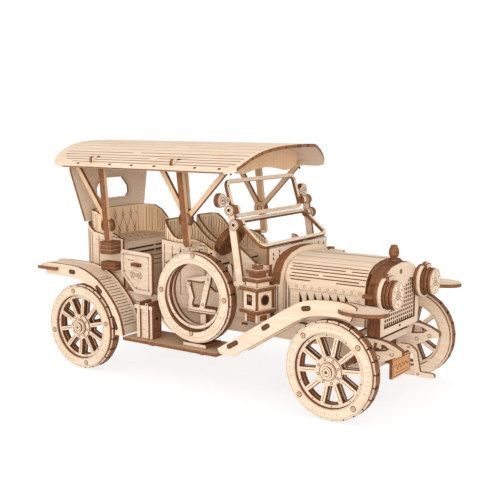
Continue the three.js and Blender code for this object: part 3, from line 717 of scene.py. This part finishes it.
def rear_seat_details():
    """Tufting and folds on the rear backrest and its cushion."""
    piece = Piece("rear_seat_details")
    x = -16.6
    upper = [(y, 94.2) for y in (-19, -11, -3, 5, 13, 20)]
    lower = [(y, 83.0) for y in (-15, -7, 1, 9, 17)]
    for y, z in upper + lower:
        piece.mark((x, y, z), "x", 1.25, 0.85, SCORCH, 14, (0.02, 0.12))
        piece.line([(x, y, z + 0.9), (x, y, z + 2.4)], 0.5, X_AXIS, SLOT, lift=0.1)
    for y, z in lower:
        for k in (-4, 4):
            fold = [(x, y, z + 1.2), (x, y + k * 0.4, z + 5), (x, y + k, 92.8)]
            piece.line(fold, 0.3, X_AXIS)
            if abs(y + k * 0.5) < 18:
                piece.line([(x, y, z - 1), (x, y + k * 0.35, 80.2)], 0.3, X_AXIS, FINE)
    for y, z in upper:
        if abs(y) < 18:
            piece.line([(x, y, z + 2.2), (x, y, 99)], 0.3, X_AXIS)
        for k in (-2, 2):
            if abs(y + k) < 18:
                piece.line([(x, y, z - 1), (x, y + k, z - 5.6)], 0.22, X_AXIS, FINE)
    for side in (-1, 1):
        flutes(piece, REAR_SEAT, side, REAR_ARM, 14, 2.1, 81.5, True, 0.0, skip_back=True)
        flutes(piece, REAR_SEAT, side, REAR_ARM, 14, 3.4, 87.5, False, 0.0)
    cushion_lines(piece, 0, 27.6, 16.4, 79.5, -14, 6)
    return piece.done()


def cushion_lines(piece, centre, half, front, top, rear, buttons):
    """Long slots on the front roll and engraving on top of a seat cushion."""
    def across(x, z, low, high, *look, **lift):
        piece.line([(x, centre + low * half, z), (x, centre + high * half, z)], *look, **lift)

    for z, end in ((top - 3.6, 0.92), (top - 6.6, 0.7)):
        across(front, z, -0.96, -0.04, 1.0, X_AXIS, SLOT, lift=0.06)
        across(front, z, 0.04, end, 1.0, X_AXIS, SLOT, lift=0.06)
    for z in (top - 11, top - 14, top - 17):
        across(front - 2, z, -0.95, 0.95, 0.5, X_AXIS)
    run = front - 7 - rear
    for j in range(3):
        x = rear + 4 + run * j / 3
        z = top + 1.5 * (front - 5 - x) / (front - 5 - rear)
        for i in range(buttons):
            y = centre + half * (-0.8 + 1.6 * (i + 0.5 * (j % 2)) / buttons)
            piece.mark((x, y, z), "z", 0.8, 0.45, SCORCH, 12, (0.0, 0.1))
            for k in (-1, 1):
                end = (x + run / 4.2, y + k * half * 0.8 / buttons, z)
                piece.line([(x + 1, y, z + 0.05), end], 0.2, Z_AXIS, FINE, lift=0.08)


def bucket_details(side, sign):
    """Upright cuts and cushion lines of one front seat."""
    piece = Piece(f"front_seat_{side}_details")
    seat = {**BUCKET, "centre": sign * BUCKET["centre"]}
    for half, arm in ((sign, BUCKET_OUTER_ARM), (-sign, BUCKET_INNER_ARM)):
        front = 87 if half == sign else 82
        flutes(piece, seat, half, arm, front, 1.9, 75.5, True, 0.35)
        flutes(piece, seat, half, arm, front, 2.6, 60, False, 0.25)
    cushion_lines(piece, seat["centre"], 11.5, 83, 74, 52, 3)
    return piece.done()


rear_seat_details()
for side, sign in SIDES:
    bucket_details(side, sign)

# ---------------- hood and dash

HOOD_HALF = ((46.5, 27), (67, 27), (72.6, 25.6), (77, 22.4), (80, 17), (81.6, 9), (82, 0))
HOOD_SLITS = ((140, 189.6, 77.6), (141, 176, 76.2), (180, 190, 76.2), (140.4, 190, 74.6),
              (142, 160, 72.8), (163, 190, 72.8), (141, 186, 71.0), (142, 155, 69.2),
              (172, 190, 69.4))
LOUVRES_X = (148.2, 153, 158, 163, 168, 173, 178)


def hood_side_details(name, body, sign, low, high, panel):
    """Louvres, holes and border on one side of the hood."""
    piece = Piece(name, body)
    face = sign * HOOD_HALF[0][1]
    if panel:
        piece.plate(rect(138, 190.4, low, high), "y", face, face + sign * 0.12, edge=EDGE["y"])
        face += sign * 0.12
    for i, x in enumerate(LOUVRES_X):
        top = 62.6 + 0.12 * i
        length = 6.4 - 0.5 * i
        wedge = [(x, top), (x + 1.9, top - length * 0.72), (x + 1.9, top - length),
                 (x, top - length)]
        piece.solid(wedge, "y", face - sign * 0.2, face + sign * 0.06)
    for i in range(9):
        piece.mark((146.3 + 5.1 * i, face, 65.4), "y", 0.85, 0.6, FINE, 12, (-0.05, 0.05))
    piece.mark((186.8, face, 60.8), "y", 0.9, 0.6, FINE, 12, (-0.05, 0.05))
    border = [(142, face, 63.4), (185, face, 63.8), (185, face, 50), (142, face, 50)]
    piece.loop(border, 0.18, (0, sign, 0), FINE)
    return piece.done()


def hood_top_details(name, body, sign):
    """Long slits and engraved lines on one half of the hood top."""
    piece = Piece(name, body)
    slits = [(*slit, 0.62, SCORCH) for slit in HOOD_SLITS]
    hairlines = [(139, 190, z, 0.3, FINE) for z in (79.2, 80.9)]
    for x0, x1, z, width, material in slits + hairlines:
        y, (nz, ny) = along(HOOD_HALF, z)
        piece.line([(x0, sign * y, z), (x1, sign * y, z)], width, (0, sign * ny, nz), material,
                   lift=0.06)
    piece.line([(139, sign * 0.5, 82), (190.2, sign * 0.5, 82)], 0.3, Z_AXIS)
    return piece.done()


def scuttle_details():
    """Slots and engraving on the dash board behind the hood."""
    piece = Piece("scuttle_details")
    for sign in (-1, 1):
        for y, z in ((29.2, 81.6), (22.6, 82.6)):
            for k in (-1.3, 1.3):
                u, v = sign * y, z + k
                piece.solid(rounded(u - 0.55, u + 0.55, v - 0.9, v + 0.9, 0.5), "x", 131.6, 131.78)
        for x, top in ((139.2, 66), (141.2, 62)):
            piece.solid([(x - 0.35, 50), (x + 0.35, 50), (x + 0.35, top), (x - 0.35, top + 4)], "y",
                        sign * 27.1, sign * 27.2)
        piece.box((134, 137.6), (sign * 31.5, sign * 31.62), (48, 66), PALE)
        for x in (134.9, 136.4):
            piece.line([(x, sign * 31.62, 50), (x, sign * 31.62, 65)], 0.5, (0, sign, 0), SLOT)
        for i in range(9):
            z = 71.5 - 2.3 * i
            piece.line([(129.7, sign * 21, z), (129.7, sign * 26, z)], 0.4, (-1, 0, 0))
    piece.mark((131.7, 0, 83.4), "x", 0.9, 0, SLOT, 12, (0, 0.12))
    piece.solid([(-0.7, 81.2), (0.7, 81.2), (0.35, 83.2), (-0.35, 83.2)], "x", 131.6, 131.82)
    return piece.done()


hood_side_details("hood_leaf_right_side_details", "chassis", -1, 46.5, 66.8, False)
hood_side_details("hood_side_left_details", "chassis", 1, 46.6, 66.4, True)
hood_top_details("hood_leaf_right_top_details", "chassis", -1)
hood_top_details("hood_leaf_left_top_details", "hood_leaf", 1)
scuttle_details()

# ---------------- radiator and lights

GRILLE = ((20.6, 45.4), (20.6, 64.6), (17, 69.4), (12, 70), (7.4, 66.6), (4, 65.4), (0, 65))
LAMP = {"y": 25.2, "z": 66.5, "x": 209.6}


def grille_top(y):
    """Height of the grille opening at y."""
    return along(GRILLE[:0:-1], abs(y))[0]


def grille_lattice():
    """Crossed bars before a dark back, in place of the plain grille. The dark back is painted shade
    behind the bars.
    """
    piece = Piece("radiator_grille_lattice")
    back, front = 196.5, 198.5
    inner = [(u * 0.97, v + (0.6 if v < 50 else -0.6)) for u, v in GRILLE]
    ring = inner + [(-u, v) for u, v in reversed(inner[:-1])]
    # Dark sheet behind the bars: painted shade.
    piece.solid(ring, "x", 193.4, 195.4)
    for i in range(15):
        y = -19.0 + 38.0 * i / 14
        high = min(grille_top(y - 0.4), grille_top(y + 0.4)) - 0.6
        piece.plate(rect(y - 0.42, y + 0.42, 46, high), "x", back, front)
    for j in range(9):
        z = 48.2 + 2.35 * j
        half = 20.0
        while half > 1 and grille_top(half) < z + 1.1:
            half -= 0.5
        gap = 0.0
        while gap < half and grille_top(gap) < z + 1.1:
            gap += 0.5
        spans = [(-half, half)] if gap == 0.0 else [(-half, -gap), (gap, half)]
        for a, b in spans:
            if b - a > 1.5:
                piece.plate(rect(a, b, z - 0.4, z + 0.4), "x", back + 0.1, front - 0.1)
    return piece.done(["radiator_grille"])


def radiator_details():
    """Layer joints round the radiator shell and the small badge on it."""
    piece = Piece("radiator_details")
    half = [(24.95, 46), (24.95, 66), (23.45, 71.65), (19.05, 76.25), (12.05, 79.25), (0, 80.35)]
    outline = half + [(-y, z) for y, z in reversed(half[:-1])]
    for x in (193.0, 195.1, 197.2):
        for (y0, z0), (y1, z1) in zip(outline, outline[1:]):
            normal = (0, z0 - z1, y0 - y1) if y0 > y1 else (0, y0, 0)
            piece.line([(x, y0, z0), (x, y1, z1)], 0.32, normal, SLOT, lift=0.06)
    face = 199.2
    piece.mark((face, 0, 75.2), "x", 1.5, 1.2, SCORCH, 16, (0, 0.08))
    piece.disc((face, 0, 75.2), "x", 1.1, (0, 0.1), 0, EDGE["x"], EDGE["x"], 16)
    piece.solid([(-1.4, 43.4), (1.4, 43.4), (0.7, 44.6), (-0.7, 44.6)], "x", face, face + 0.1)
    return piece.done()


def headlight_details(side, sign):
    """Rings, holes and the rim hook of one headlight."""
    piece = Piece(f"headlight_{side}_details")
    x, y, z = LAMP["x"], sign * LAMP["y"], LAMP["z"]
    for ring in ((7.3, 7.05, FINE, 36), (2.5, 2.1, SCORCH, 20), (1.1, 0.7, SCORCH, 14)):
        piece.mark((x, y, z), "x", *ring, (0, 0.07))
    for k in range(3):
        a = math.radians(90 + 120 * k)
        for turn in (-0.14, 0.14):
            ends = [(x, y + r * math.cos(b), z + r * math.sin(b))
                    for r, b in ((2.8, a + turn * 2), (6.4, a + turn))]
            piece.line(ends, 0.3, X_AXIS)
    for u, v in spaced(5, 3, math.radians(30)):
        piece.mark((x, y + u, z + v), "x", 0.6, 0, FINE, 10, (0, 0.07))
    for depth in (-2.0, -4.2, -6.2):
        piece.mark((x + depth, y, z), "x", 8.12, 7.8, SLOT, 32, (-0.2, 0.2))
    piece.disc((x - 6.0, y, z), "x", 9.75, (-2.05, 0.02), 9.0, PALE, PALE, 32)
    piece.plate([(y - 3.2, z + 7.6), (y + 3.2, z + 7.6), (y + 2.6, z + 10.6), (y, z + 11.4),
                 (y - 2.6, z + 10.6)], "x", x - 7.4, x - 5.4)
    for k in (-1.2, 1.2):
        piece.mark((x - 5.4, y + k, z + 9.4), "x", 0.55, 0, SLOT, 10, (0, 0.08))
    return piece.done()


def lantern_details(side, sign):
    """Panes, straps, shelves and cut-outs of one lantern, about its own upright axis. The cut-outs
    are dark fills: painted shade.
    """
    place = turned((129.5, sign * 42.4, 0), sign * 13.8, "Z")
    piece = Piece(f"lantern_{side}_details", place=place)
    pane = rounded(-5.9, 5.9, 53.4, 64, 0.3)
    window = rounded(-2.3, 2.3, 55.6, 61.8, 0.2)
    for k in (-1, 1):
        piece.plate(pane, "x", *reach(k, 6.1, 6.26))
        piece.disc((k * 6.2, 0, 58.7), "x", 3.3, (-0.15, 0.15), 0, EDGE["x"], EDGE["x"], 24)
        # Dark disc in the round cut-out: painted shade inside the lantern.
        piece.mark((k * 6.2, 0, 58.7), "x", 2.5, 0, SLOT, 24, (-0.22, 0.22))
        for u in (-5.6, 5.6):
            piece.line([(k * 6.22, u, 53.2), (k * 6.22, u, 64.2)], 1.1, (k, 0, 0), EDGE["y"])
        piece.plate(pane, "y", *reach(k, 6.1, 6.26))
        piece.plate(rounded(-3.2, 3.2, 54.6, 62.8, 0.4), "y", *reach(k, 6.1, 6.4), [window],
                    edge=EDGE["y"])
        # Dark fill of the window cut-out: painted shade inside the lantern.
        piece.solid(window, "y", *reach(k, 6.05, 6.34))
        piece.solid(rect(-1.4, 1.4, 58, 60.6), "y", *reach(k, 6.2, 6.42), EDGE["y"])
        for u in (-5.6, 5.6):
            piece.line([(u, k * 6.22, 53.2), (u, k * 6.22, 64.2)], 1.1, (0, k, 0), EDGE["y"])
    for low, high, half in ((51.25, 53.15, 7.65), (64.25, 66.15, 7.65), (69.25, 71.15, 6.35)):
        piece.plate(rounded(-half, half, -half, half, 0.3), "z", low, high)
    collar = rounded(-4.5, 4.5, 66.3, 69.2, 0.2)
    for k in (-1, 1):
        piece.plate(rounded(-4.6, 4.6, 45.7, 51.1, 0.2), "x", *reach(k, 4.6, 4.85),
                    [rounded(-2.8, 2.8, 46.4, 49.6, 0.8)])
        piece.plate(collar, "x", *reach(k, 4.7, 4.92))
        piece.plate(collar, "y", *reach(k, 4.7, 4.92))
        strap = rect(k * 4.6 - 0.9, k * 4.6 + 0.9, 45.7, 51)
        for j in (-1, 1):
            piece.plate(strap, "y", *reach(j, 4.7, 5.0))
    piece.mark((0, 0, 78.6), "z", 2.0, 1.4, SCORCH, 14, (0, 0.1))
    return piece.done()


grille_lattice()
radiator_details()
for side, sign in SIDES:
    headlight_details(side, sign)
    lantern_details(side, sign)

# ---------------- doors and body sides

DOOR_TURN = {"right": (18.0, -35.0, 50.7, -10.0), "left": (18.0, 35.0, 50.7, 0.0)}
DOOR_EDGE = ((0.6, 11.2), (13.6, 0.8), (15.2, 0), (30, 0), (31.6, 1.6), (31.6, 25.2), (30, 26.8),
             (2, 26.8), (0.6, 25.4))

BODY_FACE_Y, BODY_MIDDLE_Y = 33, 32
BODY_EDGES = (((-7.5, 86.6), (4.3, 84.6), (17.4, 83.4)), ((50.6, 86), (60, 85), (84, 84)),
              ((106.6, 86.6), (109, 86.4), (121.8, 76.8), (129.4, 76.8)),
              ((84, 62), (92, 56.5), (101, 58), (105.6, 66)))


def door_details(side, sign):
    """Border, ornament, handle and hinge leaves of one door."""
    x, y, z, turn = DOOR_TURN[side]
    place = turned((x, y, z), turn, "Z")
    piece = Piece(f"door_{side}_details", f"{side}_door", place)
    face = sign * 1.0
    normal = (0, sign, 0)
    for inset in (2.4, 3.0):
        points = [(16 + (u - 16) * (1 - inset / 14), face, 14 + (v - 14) * (1 - inset / 13))
                  for u, v in DOOR_EDGE]
        piece.loop(points, 0.22, normal, FINE if inset > 2.5 else SCORCH)
    for u, v in ((3.4, 24), (28.6, 24), (28.6, 3.2), (16.4, 3.4), (4, 13)):
        piece.mark((u, face, v), "y", 0.75, 0.4, SCORCH, 12)
    piece.box((13.8, 21.6), reach(sign, 1.0, 3.45), (17.35, 19.45), EDGE["y"])
    piece.line([(13.9, sign * 3.45, 18.4), (21.5, sign * 3.45, 18.4)], 0.3, normal, SLOT)
    piece.line([(8, face, 20.6), (14, face, 20.9)], 0.4, normal)
    piece.loop([(16 + 6.4 * u, face, 11.4 + 3 * v) for u, v in circle(0, 0, 1, 20)], 0.22, normal,
               FINE)
    for k in (-3.6, 0, 3.6):
        leaf = [(16 + k + 1.5 * math.cos(t), face, 11.4 + 1.9 * math.sin(2 * t) * (1 if k else 0.6))
                for t in (2 * math.pi * j / 16 for j in range(17))]
        piece.line(leaf, 0.3, normal)
    for k in (6, 22):
        piece.box((k, k + 5), reach(sign, -1.0, -1.12), (3, 3.4), SCORCH)
    return piece.done()


def body_side_details(side, sign):
    """Steps, layer edges and upright cuts on one body side."""
    piece = Piece(f"body_side_{side}_details")
    face = sign * BODY_FACE_Y
    normal = (0, sign, 0)
    for x0, x1, z in ((-6.4, 4.6, 81.6), (-6.4, 15, 60.6)):
        piece.box((x0, x1), reach(sign, BODY_FACE_Y, 33.05), (z, z + 0.3), FINE)
    for x, low, high in ((52.6, 52, 83), (58.9, 52, 82.4), (65.2, 52, 82), (-3.5, 50, 84)):
        piece.line([(x, face, low), (x, face, high)], 0.5, normal)
    for low, high in ((74.3, 76.9), (77.1, 79.7), (79.9, 82.5)):
        piece.plate(rounded(6.4, 16.12, *reach(sign, BODY_FACE_Y, 42.74), 0.3), "z", low, high, (),
                    EDGE["x"], EDGE["z"])
    for low, high in ((63.4, 65.9), (66.1, 68.6)):
        piece.plate(rounded(4.2, 16.4, *reach(sign, BODY_FACE_Y, 40), 0.6), "z", low, high, (),
                    EDGE["x"], EDGE["z"])
    middle = sign * BODY_MIDDLE_Y
    for run in BODY_EDGES:
        for (x0, z0), (x1, z1) in zip(run, run[1:]):
            piece.line([(x0, middle, z0), (x1, middle, z1)], 1.9, (z0 - z1, 0, x1 - x0), EDGE["y"],
                       lift=0.07)
    for x, way in ((17.4, 1), (50.6, -1)):
        piece.line([(x, middle, 50), (x, middle, 83.2)], 1.9, (way, 0, 0), EDGE["y"], lift=0.07)
    for i, a in enumerate(range(100, 176, 12)):
        c, s = math.cos(math.radians(a)), math.sin(math.radians(a))
        x, y = -7.5 + 13.5 * c, sign * (19.5 + 13.5 * s)
        piece.line([(x, y, 46), (x, y, 85.5 - 0.2 * (x + 7.5) * 1.6)], 0.5, (c, sign * s, 0),
                   SCORCH if i % 2 else FINE, lift=0.12)
    for y in (4, 10, 16):
        piece.line([(-21, sign * y, 46), (-21, sign * y, 90)], 0.5, (-1, 0, 0), lift=0.1)
    return piece.done()


for side, sign in SIDES:
    door_details(side, sign)
    body_side_details(side, sign)

# ---------------- fenders, boards and front end

REAR_TOP = ((-37.2, 66.2), (-28, 66.8), (-14.4, 66.7), (-3, 66.1), (5.7, 63.5), (13.5, 59.4),
            (19.1, 54.7), (23.9, 49.9), (28, 45), (31.3, 39.6), (33.4, 34), (35.1, 25.8))
FRONT_TOP = ((109, 28.6), (124, 38), (137.9, 46.6), (153.3, 56.3), (163.9, 62.2), (171, 64.4),
             (180.1, 65.5), (189.3, 65.6), (195.8, 64.7), (199.4, 63.2))
REAR_PILLS = (((-9.4, 62.5), (-6.4, 62.4)), ((13.9, 54.6), (16.9, 52.2)),
              ((27, 36.3), (29.6, 30.2)))
FENDER_FACE_Y, BOARD_TOP_Z = 54, 25.4
FRONT_PILLS = (((167.2, 59.4), (170.4, 60)), ((141.2, 45), (144, 46.8)), ((117.2, 31), (122.4, 34)))


def pill(piece, a, b, width, face, sign):
    """A tab end with rounded corners and a dark joint round it, on the y = face plane."""
    piece.solid(bar(a, b, width + 0.8), "y", *reach(sign, face - 0.1, face + 0.07))
    piece.plate(bar(a, b, width), "y", *reach(sign, face, face + 0.12), (), EDGE["y"], SLOT)


def sunk_line(piece, point, way, depth, reach_y, width, lift, thick):
    """A cut across the car at a point moved inwards from a curved sheet."""
    size = math.hypot(*way)
    x, z = (c - w / size * depth for c, w in zip(point, way))
    piece.line([(x, y, z) for y in reach_y], width, (way[0], 0, way[1]), SCORCH, lift, thick)


def fender_details(side, sign):
    """Tab ends, cross cuts and the oval tip plate of the fenders on one side."""
    piece = Piece(f"fenders_{side}_details")
    for a, b in REAR_PILLS + FRONT_PILLS:
        pill(piece, a, b, 2.1, FENDER_FACE_Y, sign)
    piece.plate(rounded(-37.2, -20.7, *reach(sign, 38, 56.1), 0.5), "z", 64.4, 64.5,
                face=PALE, edge=EDGE["z"])
    piece.box((-37.45, -20.6), reach(sign, 56, 56.12), (62.4, 64.5), EDGE["z"])
    stops = []
    for (x0, z0), (x1, z1) in zip(REAR_TOP, REAR_TOP[1:]):
        count = max(1, round(math.hypot(x1 - x0, z1 - z0) / 2.2))
        stops += [(x0 + (x1 - x0) * k / count, z0 + (z1 - z0) * k / count, z0 - z1, x1 - x0)
                  for k in range(count)]
    for i, (x, z, nx, nz) in enumerate(stops):
        if x < 7 or z < 31:
            continue
        low, high = (39.4, 50.6) if i % 2 else (40.4, 49.6)
        sunk_line(piece, (x, z), (nx, nz), 0.9, (sign * low, sign * high), 0.42, 0.12, 0.4)
    for x in range(112, 137, 3):
        z, way = along(FRONT_TOP, x)
        sunk_line(piece, (x, z), way, 4, (sign * 39.6, sign * 50.6), 0.4, 0.1, 0.3)
    oval = circle(0, 0, 1, 32)
    piece.plate([(201.5 + 14.2 * u, sign * 50 + 10.14 * v) for u, v in oval], "z", 59.97, 62.06)
    ring = [(201.5 + 12.6 * u, sign * 50 + 8.7 * v, 62.06) for u, v in oval]
    piece.loop(ring, 0.16, Z_AXIS, FINE)
    return piece.done()


def board_details(side, sign):
    """Engraved pattern and tab ends of one running board."""
    piece = Piece(f"running_board_{side}_details")
    top = BOARD_TOP_Z
    for i in range(23):
        x = 38 + 3.05 * i
        for j in range(6):
            y = sign * (31 + 4.1 * j + 2.0 * (i % 2))
            if abs(y) < 53.6:
                piece.line([(x - 0.35, y, top), (x + 0.35, y, top)], 0.7, Z_AXIS, FINE, lift=0.04)
    for x in (43.6, 83.7):
        piece.line([(x - 1.6, sign * 41, top), (x + 1.6, sign * 41, top)], 1.2, Z_AXIS, EDGE["z"],
                   lift=0.06)
    return piece.done()


def rail_details(side, sign):
    """Pins and tab ends on one chassis rail."""
    piece = Piece(f"chassis_rail_{side}_details")
    for y, way in ((23.5, -1), (27.5, 1)):
        for x, z in ((199.6, 31.2), (207.6, 33.9)):
            piece.mark((x, sign * y, z), "y", 1.2, 0.85, SCORCH, 14, (-0.05, 0.05))
        for x in (60, 110):
            piece.line([(x - 2, sign * y, 38.5), (x + 2, sign * y, 38.5)], 1.6, (0, sign * way, 0),
                       EDGE["y"], lift=0.06)
    for x, z in ((200.5, 37.2), (207.6, 35.6)):
        piece.disc((x, sign * 27.5, z), "y", 1.0, (0, sign * 0.3), 0, PALE, EDGE["y"], 14)
    return piece.done()


def under_details():
    """Cross plates under the floor."""
    piece = Piece("underside_details")
    for x in (24, 70, 120, 160):
        piece.plate([(-23.4, 36), (23.4, 36), (23.4, 42.6), (14, 42.6), (10, 38.4), (-10, 38.4),
                     (-14, 42.6), (-23.4, 42.6)], "x", x - 1, x + 1)
    for x in (-9, 8.6, 175, 193.5):
        piece.plate(rounded(-23.4, 23.4, 34.2, 37.8, 0.6), "x", x - 1, x + 1)
    return piece.done()


def number_plate_details():
    """Painted face, border and a plain wavy mark."""
    piece = Piece("number_plate_details")
    back, front = 201.0, 201.08
    piece.plate(rounded(-11.9, 11.9, 14.9, 26.5, 0.6), "x", back, front, (), PLATE_PAINT, EDGE["x"])
    piece.loop([(front, y, z) for y, z in rounded(-10.8, 10.8, 15.9, 25.5, 0.8)], 0.3, X_AXIS)
    wave = [(front, -8.4 + 0.84 * k, 21 + 1.9 * math.sin(1.25 * k) * (1 - 0.03 * k))
            for k in range(21)]
    piece.line(wave, 0.45, X_AXIS)
    piece.line([(front, -8, 17.6), (front, 8.4, 17.6)], 0.25, X_AXIS)
    return piece.done()


def crank_details():
    """Pin rings of the hand crank."""
    piece = Piece("hand_crank_details", "crank")
    for sign in (-1, 1):
        for x, z in ((205.6, 32.2), (211.6, 17.2)):
            piece.mark((x, sign * 1.1, z), "y", 0.8, 0.45, SCORCH, 12, (-0.05, 0.05))
    return piece.done()


for side, sign in SIDES:
    fender_details(side, sign)
    board_details(side, sign)
    rail_details(side, sign)
under_details()
number_plate_details()
crank_details()

# ---------------- windshield, mirrors, tools

UPPER_PIVOT, LOWER_PIVOT = (110.7, 108.6), (114.0, 100.3)


def post_details(side, sign):
    """Pivot rings of one windshield post."""
    piece = Piece(f"windshield_post_{side}_details")
    for x, z in (UPPER_PIVOT, LOWER_PIVOT):
        for y in (40, 44):
            piece.mark((x, sign * y, z), "y", 2.55, 2.2, SCORCH, 20)
        piece.mark((x, sign * 44, z), "y", 3.32, 3.05, SCORCH, 24, (-0.1, 0.06))
        piece.mark((x, sign * 44.6, z), "y", 1.0, 0, SLOT, 14, (-0.05, 0.05))
    return piece.done()


def frame_details(name, body, pivot, tilt, low, high, back):
    """Pins and an engraved wave on both faces of a windshield frame."""
    place = turned((pivot[0], 0, pivot[1]), tilt)
    piece = Piece(name, body, place)
    for way in (-1, 1):
        normal = (way, 0, 0)
        x = back + way
        for y in (-36.9, 36.9):
            for k in (low + 4, high - 4):
                piece.mark((x, y, k), "x", 0.55, 0, SCORCH, 10)
        v = low + 1.2
        points = [(x, -26 + 1.3 * k, v + 0.35 * math.sin(1.9 * k)) for k in range(41)]
        piece.line(points, 0.22, normal, FINE)
    return piece.done()


def mirror_details(side, sign):
    """Rings on one mirror."""
    piece = Piece(f"mirror_{side}_details")
    y, z = sign * 45.4, 114.2
    for ring in ((2.2, 1.8, SCORCH, 18), (0.8, 0, SCORCH, 12), (3.5, 3.25, FINE, 22)):
        piece.mark((107.2, y, z), "x", *ring, (0, 0.07))
    piece.mark((105.4, y, z), "x", 4.26, 4.0, SLOT, 26, (-0.15, 0.15))
    piece.mark((107.6, sign * 40.9, 114), "x", 1.0, 0.6, SCORCH, 12, (0, 0.07))
    return piece.done()


def bracket_details():
    """Pins and layer edges of the spare wheel bracket."""
    piece = Piece("spare_bracket_details")
    for x, z in ((88.2, 50), (92.4, 65.6), (78.4, 61)):
        piece.mark((x, -40.6, z), "y", 0.9, 0.55, SCORCH, 12)
    piece.line([(77, -40.6, 45.8), (98, -40.6, 45.8)], 0.3, (0, -1, 0), SLOT)
    piece.box((76.9, 98.1), (-40.66, -40.6), (44, 44.8), EDGE["z"])
    piece.box((75.6, 92), (-39.1, -39.0), (62.6, 63.6), EDGE["z"])
    return piece.done()


def tool_box_details():
    """Straps, latch and engraving of the tool box."""
    piece = Piece("tool_box_details")
    for x in (46.4, 53.2):
        piece.plate(rounded(x - 1.05, x + 1.05, 27, 48.3, 0.4), "y", -51.68, -51.6, edge=EDGE["y"])
        piece.line([(x, -51.7, 30), (x, -51.7, 46)], 0.2, (0, -1, 0), FINE)
    piece.box((43.8, 47.4), (-50.2, -50.0), (41.5, 43.7), EDGE["y"])
    for x in (46.4, 53.2):
        piece.plate(rect(x - 1, x + 1, 46.7, 48.2), "y", -51.8, -50.4)
        piece.mark((x, -51.7, 47.4), "y", 0.6, 0, SLOT, 10, (-0.1, 0.06))
    for z in (31, 37, 42):
        piece.line([(47.6, -50, z), (52, -50, z)], 0.18, (0, -1, 0), FINE)
    piece.line([(56, -49.6, 30), (56, -41.4, 30)], 0.6, X_AXIS)
    piece.mark((56, -45.5, 38), "x", 1.1, 0, SLOT, 14, (0, 0.1))
    return piece.done()


def steering_details():
    """Layer joints and pins of the steering wheel."""
    place = turned((91.5, -16.6, 87), 35)
    piece = Piece("steering_wheel_details", "steering", place)
    for x in (-1.0, 0.0, 1.0):
        for radius in (11.22, 8.02):
            points = [(x, u, v) for u, v in circle(0, 0, radius, 28)]
            for a, b in zip(points, points[1:] + points[:1]):
                middle = (Vector(a) + Vector(b)) / 2
                normal = Vector((0, middle.y, middle.z)) * (1 if radius > 10 else -1)
                piece.line([a, b], 0.18, normal, SLOT, lift=0.03)
    piece.mark((-2.4, 0, 0), "x", 2.2, 1.7, SCORCH, 18, (-0.1, 0.05))
    for y, z in circle(0, 0, 9.6, 12):
        piece.mark((-2, y, z), "x", 0.45, 0, SCORCH, 8, (-0.08, 0.05))
    return piece.done()


for side, sign in SIDES:
    post_details(side, sign)
    mirror_details(side, sign)
frame_details("windshield_upper_frame_details", "windshield_upper", UPPER_PIVOT, -17,
              -4.6, 18.4, -2.4)
frame_details("windshield_lower_frame_details", "windshield_lower", LOWER_PIVOT, 130,
              -3.4, 20.4, 0)
bracket_details()
tool_box_details()
steering_details()

# ---------------- stage, light and camera

CAMERA_PLACE = (412.65, -461.95, 162.97)
CAMERA_TURN = (81.20, 0.0, 34.0)
CAMERA_LENS, SENSOR_WIDTH = 64.59, 36
CAMERA_SHIFT = (-0.0157, 0.0080)
FLOOR_HALF_M = 6
FLOOR_GREY, FLOOR_GLOW = 0.25, 0.78
WORLD_STRENGTH = 1.04


def floor_material():
    """White floor that glows a little, so that shadows on it stay faint."""
    nodes = Nodes("floor_white")
    nodes.shader.inputs["Base Color"].default_value = (*[FLOOR_GREY] * 3, 1)
    nodes.shader.inputs["Roughness"].default_value = 1.0
    nodes.shader.inputs["Specular IOR Level"].default_value = 0.0
    nodes.shader.inputs["Emission Color"].default_value = (1, 1, 1, 1)
    nodes.shader.inputs["Emission Strength"].default_value = FLOOR_GLOW
    return nodes.material


def make_stage():
    data = bpy.data.meshes.new("floor")
    corners = rect(-FLOOR_HALF_M, FLOOR_HALF_M, -FLOOR_HALF_M, FLOOR_HALF_M)
    data.from_pydata([(x, y, 0) for x, y in corners], [], [(0, 1, 2, 3)])
    data.materials.append(floor_material())
    floor = bpy.data.objects.new("floor", data)
    bpy.context.scene.collection.objects.link(floor)


def area_light(name, place, target, size, power, colour=(1, 1, 1)):
    data = bpy.data.lights.new(name, "AREA")
    data.size = size
    data.energy = power
    data.color = colour
    light = bpy.data.objects.new(name, data)
    light.location = place
    light.rotation_euler = (Vector(target) - Vector(place)).to_track_quat("-Z", "Y").to_euler()
    bpy.context.scene.collection.objects.link(light)


def make_lights():
    world = bpy.data.worlds.new("studio")
    world.use_nodes = True
    background = world.node_tree.nodes["Background"]
    background.inputs["Color"].default_value = (1, 1, 1, 1)
    background.inputs["Strength"].default_value = WORLD_STRENGTH
    bpy.context.scene.world = world
    area_light("key", (-0.25, -1.0, 0.95), (0, 0, 0.06), 0.7, 2.5)
    area_light("fill", (0.75, -1.0, 0.28), (0, 0, 0.09), 0.6, 8, (1.0, 0.96, 0.90))


def make_camera():
    data = bpy.data.cameras.new("camera")
    data.sensor_width = SENSOR_WIDTH
    data.lens = CAMERA_LENS
    data.shift_x, data.shift_y = CAMERA_SHIFT
    data.clip_start = 0.01
    camera = bpy.data.objects.new("camera", data)
    camera.location = at(*CAMERA_PLACE)
    camera.rotation_euler = [math.radians(a) for a in CAMERA_TURN]
    bpy.context.scene.collection.objects.link(camera)
    bpy.context.scene.camera = camera


make_stage()
make_lights()
make_camera()
bpy.context.scene.view_settings.view_transform = "Standard"
